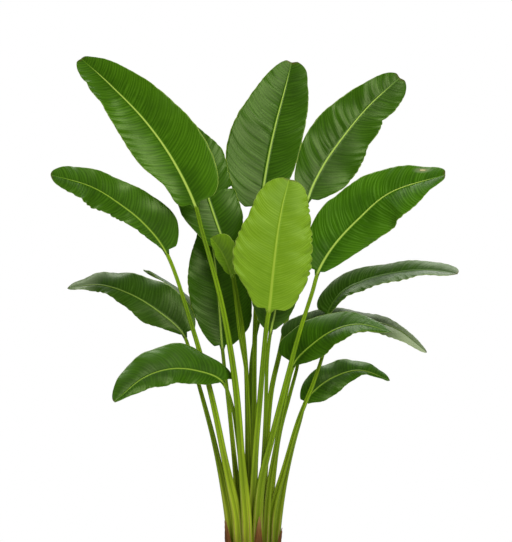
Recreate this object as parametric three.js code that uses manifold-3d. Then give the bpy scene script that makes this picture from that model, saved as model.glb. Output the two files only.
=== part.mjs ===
// A potted bird of paradise: one pot, its soil, eighteen long-stemmed leaves and three dry sheaths at
// their foot. Millimetres, +Z up. The origin is on the ground under the middle of the pot, and the plant's
// best side faces -Y.
import * as THREE from 'three';
import { mergeVertices } from 'three/addons/utils/BufferGeometryUtils.js';
import Module from 'manifold-3d';

const wasm = await Module();
wasm.setup();

// ---------------------------------------------------------------- driving dimensions
const GAP = 0.3; // clearance between pieces that touch
const POT_HEIGHT = 278;
const POT_RIM_RADIUS = 150; // outside, at the top
const POT_FOOT_RADIUS = 106; // outside, at the ground
const POT_WALL = 6;
const POT_FLOOR = 9;
const RIM_BAND_HEIGHT = 30; // the thicker band round the top
const RIM_BAND_EXTRA = 4; // how far the band stands out from the wall
const POT_CHAMFER = 3; // on the outer bottom edge
const RIM_ROUNDING = 2; // on both edges of the rim
const POT_FACETS = 40;
const DRAIN_HOLES = 5;
const DRAIN_RADIUS = 6;
const DRAIN_FACETS = 10;
const DRAIN_RING = 62; // distance of the drain holes from the middle

const SOIL_TOP = 250;
const SOIL_EDGE_DROP = 7; // the soil lies lower by the pot's wall
const SOIL_FLAT_RADIUS = 84; // level round the stems
const STEM_DEPTH = 40; // how deep the stems stand in the soil
const HOLE_CLEARANCE = 0.5; // round a stem in the soil

const BLADE_THICKNESS = 1.1;
const BLADE_ROWS = 14;
const BLADE_COLUMNS = [-1, -0.52, 0, 0, 0.52, 1]; // the two zeros are the edges of the strip over the midrib
const END_CROWDING = 0.6; // 0 spaces the rows evenly, 1 crowds them at base and tip
const LEAST_REACH = 1.2; // least width of a half blade beside the midrib, at base and tip
const SIDE_PHASE = 0.37; // how far the right edge's waves run ahead of the left's, in waves
const LOBE_LENGTH = 7; // the greater, the shorter the stretch that the base lobes take
const LOBE_START = 0.02; // share of the blade over which a lobe sets in
const RIB_MARGIN = 0.2; // how much wider than the midrib the flat strip over it is, on each side
const RIB_END = 0.94; // the midrib stops this far along the blade
const RIB_TIP_RADIUS = 1.2;

const STEM_STATIONS = 9;
const STEM_TOP_FLAT = 0.72; // half-width of the flat upper side, as a share of the radius
const STEM_ROUND = [[1, -0.62], [0.62, -1.38], [-0.62, -1.38], [-1, -0.62]]; // the under side, in radii
const STEM_CENTRE = 0.7; // at the foot, the middle line runs this share of a radius below the flat upper side
const STEM_TAPER = 1.15; // the stem reaches its upper radius before the blade begins
const STEM_TAPER_BEND = 1.3; // above 1, the stem stays thick low down and thins faster higher up
const CURVE_STEPS = 24; // length samples between two control points

const SHEATH_THICKNESS = 0.9;
const SHEATH_ROWS = 6;
const SHEATH_COLUMNS = 6;
const SHEATH_CLEARANCE = 0.6;
const SHEATH_FIT = 1.12; // the sheath's inside, in stem radii
const SHEATH_POINT = 0.06; // half-angle left at its tip, in radians

// ---------------------------------------------------------------- finishes
function finish(color, roughness) {
  return new THREE.MeshStandardMaterial({ color, roughness, metalness: 0, flatShading: true });
}

const POT_FINISH = finish(0xcfcac1, 0.7);
const SOIL_FINISH = finish(0x3b2a1e, 0.95);
const SHEATH_FINISH = finish(0x8a5a30, 0.8);
const BLADE_GREEN = 0x35681a;
const YOUNG_GREEN = 0x7fa338;
const STEM_GREEN = 0x86a83a;

// ---------------------------------------------------------------- the leaves
// stem: points from the soil to the blade. rib: points from the blade's base to its tip.
// Left and right are seen from the upper face with the tip up, and pairs give left, then right.
// left, right: the half-widths, from base to tip, at places that lie closer together towards both ends.
// lobe: how far each half reaches back past the blade's base.
// face: where the upper face looks, at the base and at the tip.
// fold: how far both halves are raised from flat beside the midrib, in degrees.
// droop: how far each half bends back down to its edge, in degrees.
// wave: the height of the edge's waves, their number and their phase.
// radius: the stem's half-width at the soil and at the blade.
// tear: a torn edge, with its side (1 is right), its place along the blade and its depth, as a share of the
// half-width.
const FRONT = [0, -1, 0.15];
const LEAVES = [
  {
    name: 'leaf_top_left',
    stem: [[-14, -38, 250], [-18, -42, 350], [-26, -48, 470], [-44, -78, 700], [-78, -104, 900],
      [-128, -118, 1085]],
    rib: [[-144, -118, 1145], [-199, -106, 1255], [-268, -80, 1351], [-358, -36, 1444], [-430, 24, 1510]],
    face: [[-0.25, -1, 0.05], [-0.1, -1, 0.4]], fold: 14, droop: 26, wave: [4, 3, 0.1],
    left: [39, 48, 74, 71, 54, 42, 26], right: [67, 92, 96, 83, 67, 46, 20],
    lobe: [8, 14], radius: [10.4, 5.6],
  },
  {
    name: 'leaf_back_left',
    stem: [[-28, 8, 250], [-14, 5, 455], [-14, 3, 660], [-18, 0, 757], [-29, -4, 860], [-54, -8, 992]],
    rib: [[-72, -8, 1047], [-109, 0, 1155], [-142, 18, 1267], [-169, 44, 1350]],
    face: [FRONT, FRONT], fold: 12, droop: 24, wave: [4, 3, 0.4],
    left: [35, 56, 77, 75, 62, 45, 22], right: [40, 67, 71, 68, 69, 42, 20],
    lobe: [10, 10], radius: [7.6, 4.4],
    tear: { side: 1, at: 0.4, depth: 0.28 },
  },
  {
    name: 'leaf_left_upper',
    stem: [[-36, -30, 250], [-44, -30, 370], [-60, -30, 455], [-94, -36, 627], [-114, -40, 710],
      [-152, -46, 842]],
    rib: [[-217, -54, 1027], [-272, -72, 1097], [-333, -98, 1146], [-394, -134, 1183], [-492, -204, 1212]],
    face: [[-0.2, -1, 0.2], [0.1, -1, 0.5]], fold: 12, droop: 30, wave: [5, 4, 0.2],
    left: [7, 19, 29, 42, 52, 35, 22], right: [40, 71, 67, 55, 47, 38, 20],
    lobe: [2, 12], radius: [9.8, 4.8],
  },
  {
    name: 'leaf_left_mid',
    stem: [[-57, -8, 250], [-60, -8, 340], [-77, -6, 455], [-97, -4, 553], [-124, -2, 655], [-152, 0, 752]],
    rib: [[-174, 2, 820], [-244, 16, 882], [-310, 40, 920], [-385, 76, 942], [-470, 128, 934]],
    face: [[-0.1, -1, 0.35], [0, -1, 0.9]], fold: 12, droop: 34, wave: [5, 4, 0.7],
    left: [12, 31, 46, 33, 22, 14, 7], right: [42, 68, 74, 63, 50, 34, 22],
    lobe: [4, 16], radius: [9, 4.4],
  },
  {
    name: 'leaf_left_rear',
    stem: [[-48, 12, 250], [-52, 14, 400], [-68, 14, 520], [-94, 12, 640], [-116, 18, 710], [-140, 38, 800]],
    rib: [[-158, 66, 892], [-190, 120, 930], [-232, 182, 958], [-277, 246, 975]],
    face: [[0.5, -0.1, 0.85], [0.5, 0.15, 0.85]], fold: 4, droop: 14, wave: [2, 3, 0.3],
    left: [23, 40, 48, 50, 43, 30, 14], right: [23, 40, 48, 50, 43, 30, 14],
    lobe: [6, 6], radius: [7, 4],
  },
  {
    name: 'leaf_left_low',
    stem: [[-19, -12, 250], [-27, -18, 455], [-40, -38, 575], [-52, -58, 645]],
    rib: [[-77, -74, 705], [-142, -104, 732], [-204, -134, 736], [-266, -168, 716], [-336, -220, 659]],
    face: [[-0.2, -1, 0.5], [0, -0.9, 0.6]], fold: 12, droop: 34, wave: [4, 4, 0.5],
    left: [14, 32, 39, 43, 36, 18, 7], right: [31, 49, 76, 72, 57, 39, 19],
    lobe: [2, 36], radius: [7.6, 4.4],
  },
  {
    name: 'leaf_centre_left',
    stem: [[-38, -8, 250], [-42, -4, 452], [-54, 8, 587], [-67, 22, 702]],
    rib: [[-77, 36, 792], [-84, 48, 880], [-94, 58, 992], [-117, 76, 1117]],
    face: [FRONT, FRONT], fold: 16, droop: 22, wave: [3, 3, 0.6],
    left: [27, 52, 70, 75, 62, 35, 17], right: [38, 75, 84, 85, 73, 50, 23],
    lobe: [10, 10], radius: [7.6, 4.6],
  },
  {
    name: 'leaf_front',
    stem: [[0, -24, 250], [-1, -30, 380], [3, -40, 455], [8, -60, 542], [18, -86, 660], [26, -106, 757],
      [35, -122, 850]],
    rib: [[41, -128, 885], [51, -138, 982], [63, -136, 1080], [76, -128, 1150], [90, -115, 1203]],
    face: [FRONT, FRONT], fold: 8, droop: 22, wave: [5, 5, 0.15],
    left: [39, 64, 102, 100, 79, 65, 41], right: [51, 75, 92, 91, 79, 62, 42],
    lobe: [8, 8], radius: [9, 6], young: true,
  },
  {
    name: 'leaf_small',
    stem: [[-1, -3, 250], [-6, -16, 455], [-12, -24, 640], [-18, -30, 728], [-33, -40, 812], [-42, -46, 885]],
    rib: [[-54, -50, 970], [-67, -54, 1005], [-84, -60, 1035], [-104, -66, 1060]],
    face: [[-0.6, -1, 0], [-0.6, -1, 0]], fold: 20, droop: 20, wave: [2, 2, 0.2],
    left: [8, 15, 19, 20, 16, 11, 4], right: [20, 32, 40, 46, 50, 46, 28],
    lobe: [2, 6], radius: [7, 3.6],
  },
  {
    name: 'leaf_inner',
    stem: [[19, -10, 250], [26, -18, 455], [33, -32, 615], [37, -44, 755]],
    rib: [[46, -56, 832], [56, -62, 880], [66, -70, 980], [76, -72, 1110]],
    face: [[0.2, -1, 0.1], [0.1, -1, 0.1]], fold: 14, droop: 20, wave: [3, 3, 0.3],
    left: [28, 52, 68, 72, 65, 48, 24], right: [16, 37, 53, 58, 52, 39, 20],
    lobe: [4, 4], radius: [7.6, 4.4],
  },
  {
    name: 'leaf_top_centre',
    stem: [[-8, 18, 250], [2, 22, 455], [3, 18, 615], [4, 18, 760], [8, 26, 890], [14, 44, 1030]],
    rib: [[21, 58, 1140], [38, 80, 1255], [58, 106, 1349], [82, 136, 1441], [99, 168, 1510]],
    face: [FRONT, FRONT], fold: 14, droop: 20, wave: [3, 3, 0.7],
    left: [53, 87, 109, 105, 82, 57, 31], right: [32, 56, 73, 76, 71, 55, 39],
    lobe: [16, 10], radius: [8.2, 5],
  },
  {
    name: 'leaf_top_right',
    stem: [[18, 12, 250], [30, 20, 455], [46, 36, 670], [68, 64, 770], [84, 88, 845], [116, 102, 1010]],
    rib: [[141, 122, 1162], [178, 150, 1243], [224, 178, 1311], [295, 216, 1398], [379, 256, 1476]],
    face: [[0.1, -1, 0.15], [0.1, -1, 0.3]], fold: 14, droop: 22, wave: [6, 4, 0.5],
    left: [37, 62, 79, 79, 61, 46, 29], right: [36, 71, 83, 71, 65, 55, 36],
    lobe: [8, 6], radius: [8, 4.8],
  },
  {
    name: 'leaf_right_upper',
    stem: [[14, -38, 250], [16, -42, 382], [26, -50, 475], [48, -60, 565], [86, -76, 715], [116, -80, 827],
      [148, -74, 927]],
    rib: [[163, -68, 977], [201, -66, 1040], [262, -80, 1106], [335, -108, 1168], [471, -176, 1213]],
    face: [[0, -1, 0.3], [0, -0.9, 0.7]], fold: 14, droop: 24, wave: [4, 4, 0.2],
    left: [40, 70, 87, 79, 64, 44, 26], right: [22, 47, 66, 83, 85, 58, 23],
    lobe: [12, 4], radius: [9.6, 5],
  },
  {
    name: 'leaf_right_mid',
    stem: [[46, -14, 250], [50, -15, 370], [78, -16, 485], [113, -16, 607], [151, -14, 702], [181, -10, 800]],
    rib: [[188, -8, 872], [223, -14, 925], [273, -30, 952], [346, -62, 972], [428, -100, 980],
      [502, -148, 970]],
    face: [[-0.4, -0.7, 0.6], [0, -0.35, 1]], fold: 24, droop: 30, wave: [2, 3, 0.4],
    left: [41, 48, 46, 40, 40, 37, 26], right: [13, 29, 44, 57, 60, 50, 37],
    lobe: [10, 4], radius: [9, 4.6],
  },
  {
    name: 'leaf_right_front',
    stem: [[33, -28, 250], [36, -28, 350], [43, -28, 452], [63, -30, 575], [82, -34, 672]],
    rib: [[103, -42, 747], [148, -66, 795], [203, -96, 832], [260, -130, 846], [340, -184, 828]],
    face: [[-0.3, -1, 0.4], [0.2, -0.6, 1]], fold: 12, droop: 30, wave: [3, 3, 0.6],
    left: [64, 71, 68, 54, 39, 22, 7], right: [15, 34, 47, 46, 37, 19, 6],
    lobe: [14, 4], radius: [7.6, 4.6],
  },
  {
    name: 'leaf_right_low',
    stem: [[60, 2, 250], [61, 2, 315], [78, 10, 440], [101, 18, 542], [118, 22, 600]],
    rib: [[133, 26, 650], [161, 34, 682], [206, 56, 711], [269, 90, 726], [348, 136, 700]],
    face: [[-0.1, -1, 0.5], [0.1, -0.8, 0.7]], fold: 12, droop: 34, wave: [3, 4, 0.1],
    left: [21, 40, 46, 44, 34, 28, 19], right: [14, 39, 42, 30, 13, 6, 6],
    lobe: [8, 8], radius: [9, 4.2],
  },
  {
    name: 'leaf_right_rear',
    stem: [[38, 6, 250], [48, 8, 430], [66, 12, 570], [91, 18, 665], [110, 26, 735]],
    rib: [[120, 34, 792], [178, 50, 838], [257, 78, 855], [359, 116, 833], [443, 152, 771]],
    face: [[-0.3, -1, 0.6], [0.2, -0.6, 1]], fold: 12, droop: 28, wave: [3, 3, 0.3],
    left: [72, 68, 50, 32, 29, 27, 15], right: [24, 38, 45, 44, 40, 30, 14],
    lobe: [16, 4], radius: [7.6, 4.4],
  },
  {
    name: 'leaf_rear',
    stem: [[5, 32, 250], [0, 42, 455], [-4, 46, 742], [8, 60, 820]],
    rib: [[28, 92, 900], [44, 132, 990], [60, 192, 1076], [74, 278, 1122]],
    face: [[0, -1, 0.7], [0, -0.5, 1]], fold: 12, droop: 28, wave: [3, 3, 0.8],
    left: [28, 46, 54, 55, 47, 33, 16], right: [28, 46, 54, 55, 47, 33, 16],
    lobe: [8, 8], radius: [7.4, 4.2],
  },
];

// The dry sheaths: the leaf whose stem each wraps, the angle that its middle looks to, anticlockwise from +X
// as seen from above, how far round it goes, both in degrees, and its height.
const SHEATHS = [
  { name: 'dry_sheath_left', leaf: 'leaf_left_mid', middle: 235, span: 170, height: 118 },
  { name: 'dry_sheath_middle', leaf: 'leaf_right_upper', middle: 275, span: 150, height: 150 },
  { name: 'dry_sheath_right', leaf: 'leaf_right_low', middle: 330, span: 150, height: 96 },
];

// ---------------------------------------------------------------- small helpers
const radians = THREE.MathUtils.degToRad;
const mix = THREE.MathUtils.lerp;

function vector(list) {
  return new THREE.Vector3(...list);
}

function meshOf(name, geometry, material) {
  const mesh = new THREE.Mesh(geometry, material);
  mesh.name = name;
  return mesh;
}

function geometryOf(points, triangles) {
  const geometry = new THREE.BufferGeometry();
  geometry.setAttribute('position', new THREE.Float32BufferAttribute(points.flatMap((p) => p.toArray()), 3));
  geometry.setIndex(triangles.flat());
  return geometry;
}

function toSolid(geometry) {
  const bare = geometry.clone();
  bare.deleteAttribute('normal');
  bare.deleteAttribute('uv');
  const merged = mergeVertices(bare, 1e-3);
  return new wasm.Manifold(new wasm.Mesh({
    numProp: 3,
    vertProperties: new Float32Array(merged.attributes.position.array),
    triVerts: new Uint32Array(merged.index.array),
  }));
}

function fromSolid(solid) {
  const mesh = solid.getMesh();
  const geometry = new THREE.BufferGeometry();
  geometry.setAttribute('position', new THREE.BufferAttribute(new Float32Array(mesh.vertProperties), 3));
  geometry.setIndex(new THREE.BufferAttribute(new Uint32Array(mesh.triVerts), 1));
  return geometry;
}

// A closed solid from rings of points with flat ends. Each ring runs anticlockwise, seen from the last
// one's side.
function ringSolid(rings) {
  const sides = rings[0].length;
  const triangles = [];
  for (let ring = 0; ring < rings.length - 1; ring += 1) {
    for (let side = 0; side < sides; side += 1) {
      const a = ring * sides + side;
      const b = ring * sides + (side + 1) % sides;
      triangles.push([a, b, b + sides], [a, b + sides, a + sides]);
    }
  }
  const last = (rings.length - 1) * sides;
  for (let side = 1; side < sides - 1; side += 1) {
    triangles.push([0, side + 1, side], [last, last + side, last + side + 1]);
  }
  return geometryOf(rings.flat(), triangles);
}

// A thin closed sheet round a grid of points, split into triangles alike on both faces.
function sheetSolid(grid, thickness) {
  const rows = grid.length;
  const columns = grid[0].length;
  const upper = [];
  const lower = [];
  for (let i = 0; i < rows; i += 1) {
    for (let j = 0; j < columns; j += 1) {
      const along = grid[Math.min(i + 1, rows - 1)][j].clone().sub(grid[Math.max(i - 1, 0)][j]);
      const across = grid[i][Math.min(j + 1, columns - 1)].clone().sub(grid[i][Math.max(j - 1, 0)]);
      const normal = across.cross(along).normalize().multiplyScalar(thickness / 2);
      upper.push(grid[i][j].clone().add(normal));
      lower.push(grid[i][j].clone().sub(normal));
    }
  }
  const under = rows * columns;
  const triangles = [];
  for (let i = 0; i < rows - 1; i += 1) {
    for (let j = 0; j < columns - 1; j += 1) {
      const a = i * columns + j;
      const b = a + 1;
      const c = b + columns;
      const d = a + columns;
      triangles.push([a, b, c], [a, c, d]);
      triangles.push([under + a, under + c, under + b], [under + a, under + d, under + c]);
    }
  }
  const rim = [];
  for (let j = 0; j < columns - 1; j += 1) rim.push(j);
  for (let i = 0; i < rows - 1; i += 1) rim.push(i * columns + columns - 1);
  for (let j = columns - 1; j > 0; j -= 1) rim.push((rows - 1) * columns + j);
  for (let i = rows - 1; i > 0; i -= 1) rim.push(i * columns);
  rim.forEach((a, k) => {
    const b = rim[(k + 1) % rim.length];
    triangles.push([a, under + b, b], [a, under + a, under + b]);
  });
  return geometryOf([...upper, ...lower], triangles);
}

// ---------------------------------------------------------------- one leaf
// The leaf's middle line, with the length at which the blade begins, and the frame at any length along it.
function middleLine(leaf) {
  const points = [...leaf.stem, ...leaf.rib].map(vector);
  const curve = new THREE.CatmullRomCurve3(points);
  curve.arcLengthDivisions = (points.length - 1) * CURVE_STEPS;
  const lengths = curve.getLengths();
  const total = lengths[lengths.length - 1];
  const bladeStart = lengths[leaf.stem.length * CURVE_STEPS];
  const faceBase = vector(leaf.face[0]).normalize();
  const faceTip = vector(leaf.face[1]).normalize();

  function frameAt(distance) {
    const share = THREE.MathUtils.clamp(distance / total, 0, 1);
    const place = curve.getPointAt(share);
    const ahead = curve.getTangentAt(share);
    const along = THREE.MathUtils.clamp((distance - bladeStart) / (total - bladeStart), 0, 1);
    const up = faceBase.clone().lerp(faceTip, along);
    up.addScaledVector(ahead, -up.dot(ahead)).normalize();
    const right = ahead.clone().cross(up);
    return { place, ahead, up, right };
  }
  return { total, bladeStart, frameAt };
}

function rowShare(row) {
  const even = row / BLADE_ROWS;
  const crowded = (1 - Math.cos(Math.PI * even)) / 2;
  return mix(even, crowded, END_CROWDING);
}

function bladeShares(leaf) {
  const shares = [];
  for (let row = 0; row <= BLADE_ROWS; row += 1) shares.push(rowShare(row));
  if (leaf.tear) {
    const nearest = shares.reduce((best, share, i) => (
      Math.abs(share - leaf.tear.at) < Math.abs(shares[best] - leaf.tear.at) ? i : best), 0);
    shares[nearest] = leaf.tear.at;
  }
  return shares;
}

// The half-width at a share of the blade's length, smooth through the given ones and round at both ends.
function halfWidth(widths, share) {
  const points = [-widths[0], 0, ...widths, 0, -widths[widths.length - 1]];
  const spans = widths.length + 1;
  const place = Math.acos(1 - 2 * share) / Math.PI * spans;
  const span = Math.min(Math.floor(place), spans - 1);
  const [before, start, end, after] = points.slice(span, span + 4);
  const t = place - span;
  const curve = 2 * start + (end - before) * t;
  const bend = (2 * before - 5 * start + 4 * end - after) * t ** 2;
  return (curve + bend + (3 * (start - end) + after - before) * t ** 3) / 2;
}

function ribRadius(leaf, share) {
  return mix(leaf.radius[1], RIB_TIP_RADIUS, Math.min(share / RIB_END, 1));
}

function bladePoint(leaf, line, share, column, sideIndex) {
  const frame = line.frameAt(mix(line.bladeStart, line.total, share));
  const sign = sideIndex === 0 ? -1 : 1;
  const out = Math.abs(column);
  const strip = ribRadius(leaf, share) * STEM_TOP_FLAT + RIB_MARGIN;
  const [height, count, phase] = leaf.wave;
  const swing = Math.sin(2 * Math.PI * (count * share + phase + SIDE_PHASE * sideIndex));
  const calm = Math.sin(Math.PI * share) ** 0.7;
  let half = halfWidth(sideIndex === 0 ? leaf.left : leaf.right, share);
  if (leaf.tear && leaf.tear.side === sideIndex && share === leaf.tear.at) half *= 1 - leaf.tear.depth;
  const reach = Math.max(half - strip, LEAST_REACH);
  const fold = radians(leaf.fold);
  const droop = radians(leaf.droop);
  const sideways = strip + reach * (Math.sin(fold) - Math.sin(fold - droop * out)) / droop;
  const raised = reach * (Math.cos(fold - droop * out) - Math.cos(fold)) / droop;
  const waved = height * swing * calm * out ** 2;
  const backward = (1 - share) ** LOBE_LENGTH * Math.min(share / LOBE_START, 1);
  const back = leaf.lobe[sideIndex] * backward * out ** 1.5;
  return frame.place.clone()
    .addScaledVector(frame.right, sign * sideways)
    .addScaledVector(frame.up, raised + waved)
    .addScaledVector(frame.ahead, -back);
}

function bladeSolid(leaf, line) {
  const half = BLADE_COLUMNS.length / 2;
  const grid = bladeShares(leaf).map((share) => BLADE_COLUMNS.map((column, index) => (
    bladePoint(leaf, line, share, column, index < half ? 0 : 1))));
  return sheetSolid(grid, BLADE_THICKNESS);
}

// The stem's outline at one place, with its flat upper side at the given depth below the leaf's middle line.
function stemRing(frame, radius, depth) {
  const ring = [];
  for (const [x, y] of [[STEM_TOP_FLAT, 0], ...STEM_ROUND, [-STEM_TOP_FLAT, 0]]) {
    ring.push(frame.place.clone()
      .addScaledVector(frame.right, x * radius)
      .addScaledVector(frame.up, y * radius - depth));
  }
  return ring;
}

// An upright frame at the leaf's foot, at the given height.
function footFrame(line, height) {
  const { place, up } = line.frameAt(0);
  const level = new THREE.Vector3(up.x, up.y, 0).normalize();
  const ahead = new THREE.Vector3(0, 0, 1);
  const right = ahead.clone().cross(level);
  return { place: new THREE.Vector3(place.x, place.y, height), ahead, up: level, right };
}

function stemRadius(leaf, share) {
  return mix(leaf.radius[0], leaf.radius[1], Math.min(share * STEM_TAPER, 1) ** STEM_TAPER_BEND);
}

function stemRings(leaf, line) {
  const under = BLADE_THICKNESS / 2 + GAP;
  const foot = leaf.radius[0];
  const rings = [
    stemRing(footFrame(line, SOIL_TOP - STEM_DEPTH), foot, -STEM_CENTRE * foot),
    stemRing(footFrame(line, SOIL_TOP + 1), foot, -STEM_CENTRE * foot),
  ];
  for (let station = 1; station <= STEM_STATIONS; station += 1) {
    const share = station / STEM_STATIONS;
    const radius = stemRadius(leaf, share);
    const depth = mix(-STEM_CENTRE * foot, under, share ** 0.5);
    rings.push(stemRing(line.frameAt(line.bladeStart * share), radius, depth));
  }
  for (const share of bladeShares(leaf)) {
    if (share > 0 && share <= RIB_END) {
      const frame = line.frameAt(mix(line.bladeStart, line.total, share));
      rings.push(stemRing(frame, ribRadius(leaf, share), under));
    }
  }
  return rings;
}

// ---------------------------------------------------------------- pot and soil
function latheSolid(profile) {
  const geometry = new THREE.LatheGeometry(profile.map(([r, z]) => new THREE.Vector2(r, z)), POT_FACETS);
  geometry.rotateX(Math.PI / 2);
  return toSolid(geometry);
}

// The pot's outer radius at a height, without the rim's band.
function potSlope(height) {
  return mix(POT_FOOT_RADIUS, POT_RIM_RADIUS - RIM_BAND_EXTRA, height / POT_HEIGHT);
}

function potSolid() {
  const bandFoot = POT_HEIGHT - RIM_BAND_HEIGHT;
  const rimInside = POT_RIM_RADIUS - RIM_BAND_EXTRA - POT_WALL;
  const profile = [
    [0, 0],
    [POT_FOOT_RADIUS - POT_CHAMFER, 0],
    [POT_FOOT_RADIUS, POT_CHAMFER],
    [potSlope(bandFoot), bandFoot],
    [POT_RIM_RADIUS, bandFoot + RIM_BAND_EXTRA],
    [POT_RIM_RADIUS, POT_HEIGHT - RIM_ROUNDING],
    [POT_RIM_RADIUS - RIM_ROUNDING, POT_HEIGHT],
    [rimInside + RIM_ROUNDING, POT_HEIGHT],
    [rimInside, POT_HEIGHT - RIM_ROUNDING],
    [potSlope(POT_FLOOR) - POT_WALL, POT_FLOOR],
    [0, POT_FLOOR],
  ];
  let pot = latheSolid(profile);
  for (let hole = 0; hole < DRAIN_HOLES; hole += 1) {
    const angle = 2 * Math.PI * hole / DRAIN_HOLES;
    const drain = new THREE.CylinderGeometry(DRAIN_RADIUS, DRAIN_RADIUS, POT_FLOOR * 3, DRAIN_FACETS);
    drain.rotateX(Math.PI / 2);
    drain.translate(DRAIN_RING * Math.cos(angle), DRAIN_RING * Math.sin(angle), POT_FLOOR / 2);
    pot = pot.subtract(toSolid(drain));
  }
  return fromSolid(pot);
}

function soilSolid(lines) {
  const bottom = POT_FLOOR + GAP;
  const edge = SOIL_TOP - SOIL_EDGE_DROP;
  const profile = [
    [0, bottom],
    [potSlope(bottom) - POT_WALL - GAP, bottom],
    [potSlope(edge) - POT_WALL - GAP, edge],
    [SOIL_FLAT_RADIUS, SOIL_TOP],
    [0, SOIL_TOP],
  ];
  let soil = latheSolid(profile);
  for (const { leaf, line } of lines) {
    const radius = leaf.radius[0] + HOLE_CLEARANCE;
    const depth = -STEM_CENTRE * leaf.radius[0] - HOLE_CLEARANCE;
    const hole = ringSolid([
      stemRing(footFrame(line, SOIL_TOP - STEM_DEPTH - GAP), radius, depth),
      stemRing(footFrame(line, SOIL_TOP + STEM_DEPTH), radius, depth),
    ]);
    soil = soil.subtract(toSolid(hole));
  }
  return fromSolid(soil);
}

// ---------------------------------------------------------------- dry sheaths
// A thin pointed shell round the outer side of a stem's foot.
function sheathSolid(sheath, leaf, line) {
  const grid = [];
  for (let row = 0; row <= SHEATH_ROWS; row += 1) {
    const share = row / SHEATH_ROWS;
    const z = mix(SOIL_TOP + GAP, SOIL_TOP + sheath.height, share);
    const { place } = line.frameAt(z - SOIL_TOP);
    const radius = leaf.radius[0] * SHEATH_FIT + SHEATH_CLEARANCE + SHEATH_THICKNESS / 2;
    const half = radians(sheath.span / 2) * (1 - share ** 1.6) ** 0.8 + SHEATH_POINT;
    const points = [];
    for (let column = 0; column <= SHEATH_COLUMNS; column += 1) {
      const angle = radians(sheath.middle) + mix(-half, half, column / SHEATH_COLUMNS);
      const x = place.x + radius * Math.cos(angle);
      const y = place.y + radius * Math.sin(angle);
      points.push(new THREE.Vector3(x, y, z));
    }
    grid.push(points);
  }
  return sheetSolid(grid, SHEATH_THICKNESS);
}

// ---------------------------------------------------------------- the plant
const plant = new THREE.Group();
const grown = LEAVES.map((leaf) => ({ leaf, line: middleLine(leaf) }));

plant.add(meshOf('pot', potSolid(), POT_FINISH));
plant.add(meshOf('soil', soilSolid(grown), SOIL_FINISH));
for (const { leaf, line } of grown) {
  const green = leaf.young ? YOUNG_GREEN : BLADE_GREEN;
  plant.add(meshOf(`${leaf.name}_stem`, ringSolid(stemRings(leaf, line)), finish(STEM_GREEN, 0.45)));
  plant.add(meshOf(`${leaf.name}_blade`, bladeSolid(leaf, line), finish(green, 0.4)));
}
for (const sheath of SHEATHS) {
  const { leaf, line } = grown.find((one) => one.leaf.name === sheath.leaf);
  plant.add(meshOf(sheath.name, sheathSolid(sheath, leaf, line), SHEATH_FINISH));
}

export default plant;
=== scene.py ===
import math
import random

import bmesh
import bpy
from mathutils import Euler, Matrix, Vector, noise


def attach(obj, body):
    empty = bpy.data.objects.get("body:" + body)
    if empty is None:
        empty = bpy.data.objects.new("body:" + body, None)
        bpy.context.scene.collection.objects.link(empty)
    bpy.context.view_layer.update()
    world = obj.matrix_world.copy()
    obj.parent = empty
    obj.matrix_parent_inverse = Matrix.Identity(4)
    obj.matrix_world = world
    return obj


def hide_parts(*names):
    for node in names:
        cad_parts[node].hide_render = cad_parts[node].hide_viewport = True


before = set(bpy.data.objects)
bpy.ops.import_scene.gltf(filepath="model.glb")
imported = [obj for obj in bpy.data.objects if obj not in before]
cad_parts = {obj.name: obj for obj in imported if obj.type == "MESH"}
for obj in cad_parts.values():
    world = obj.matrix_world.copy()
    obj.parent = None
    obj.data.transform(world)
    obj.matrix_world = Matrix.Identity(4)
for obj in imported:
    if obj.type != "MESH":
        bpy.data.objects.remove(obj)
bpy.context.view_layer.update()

bl_info = {
    "name": "Potted Bird of Paradise",
    "version": (1, 0, 0),
    "blender": (4, 5, 0),
    "location": "View3D > Sidebar > Bird of Paradise",
    "description": "Builds a bird of paradise with eighteen long-stemmed leaves in a plain pot",
    "category": "Add Mesh",
}

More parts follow.
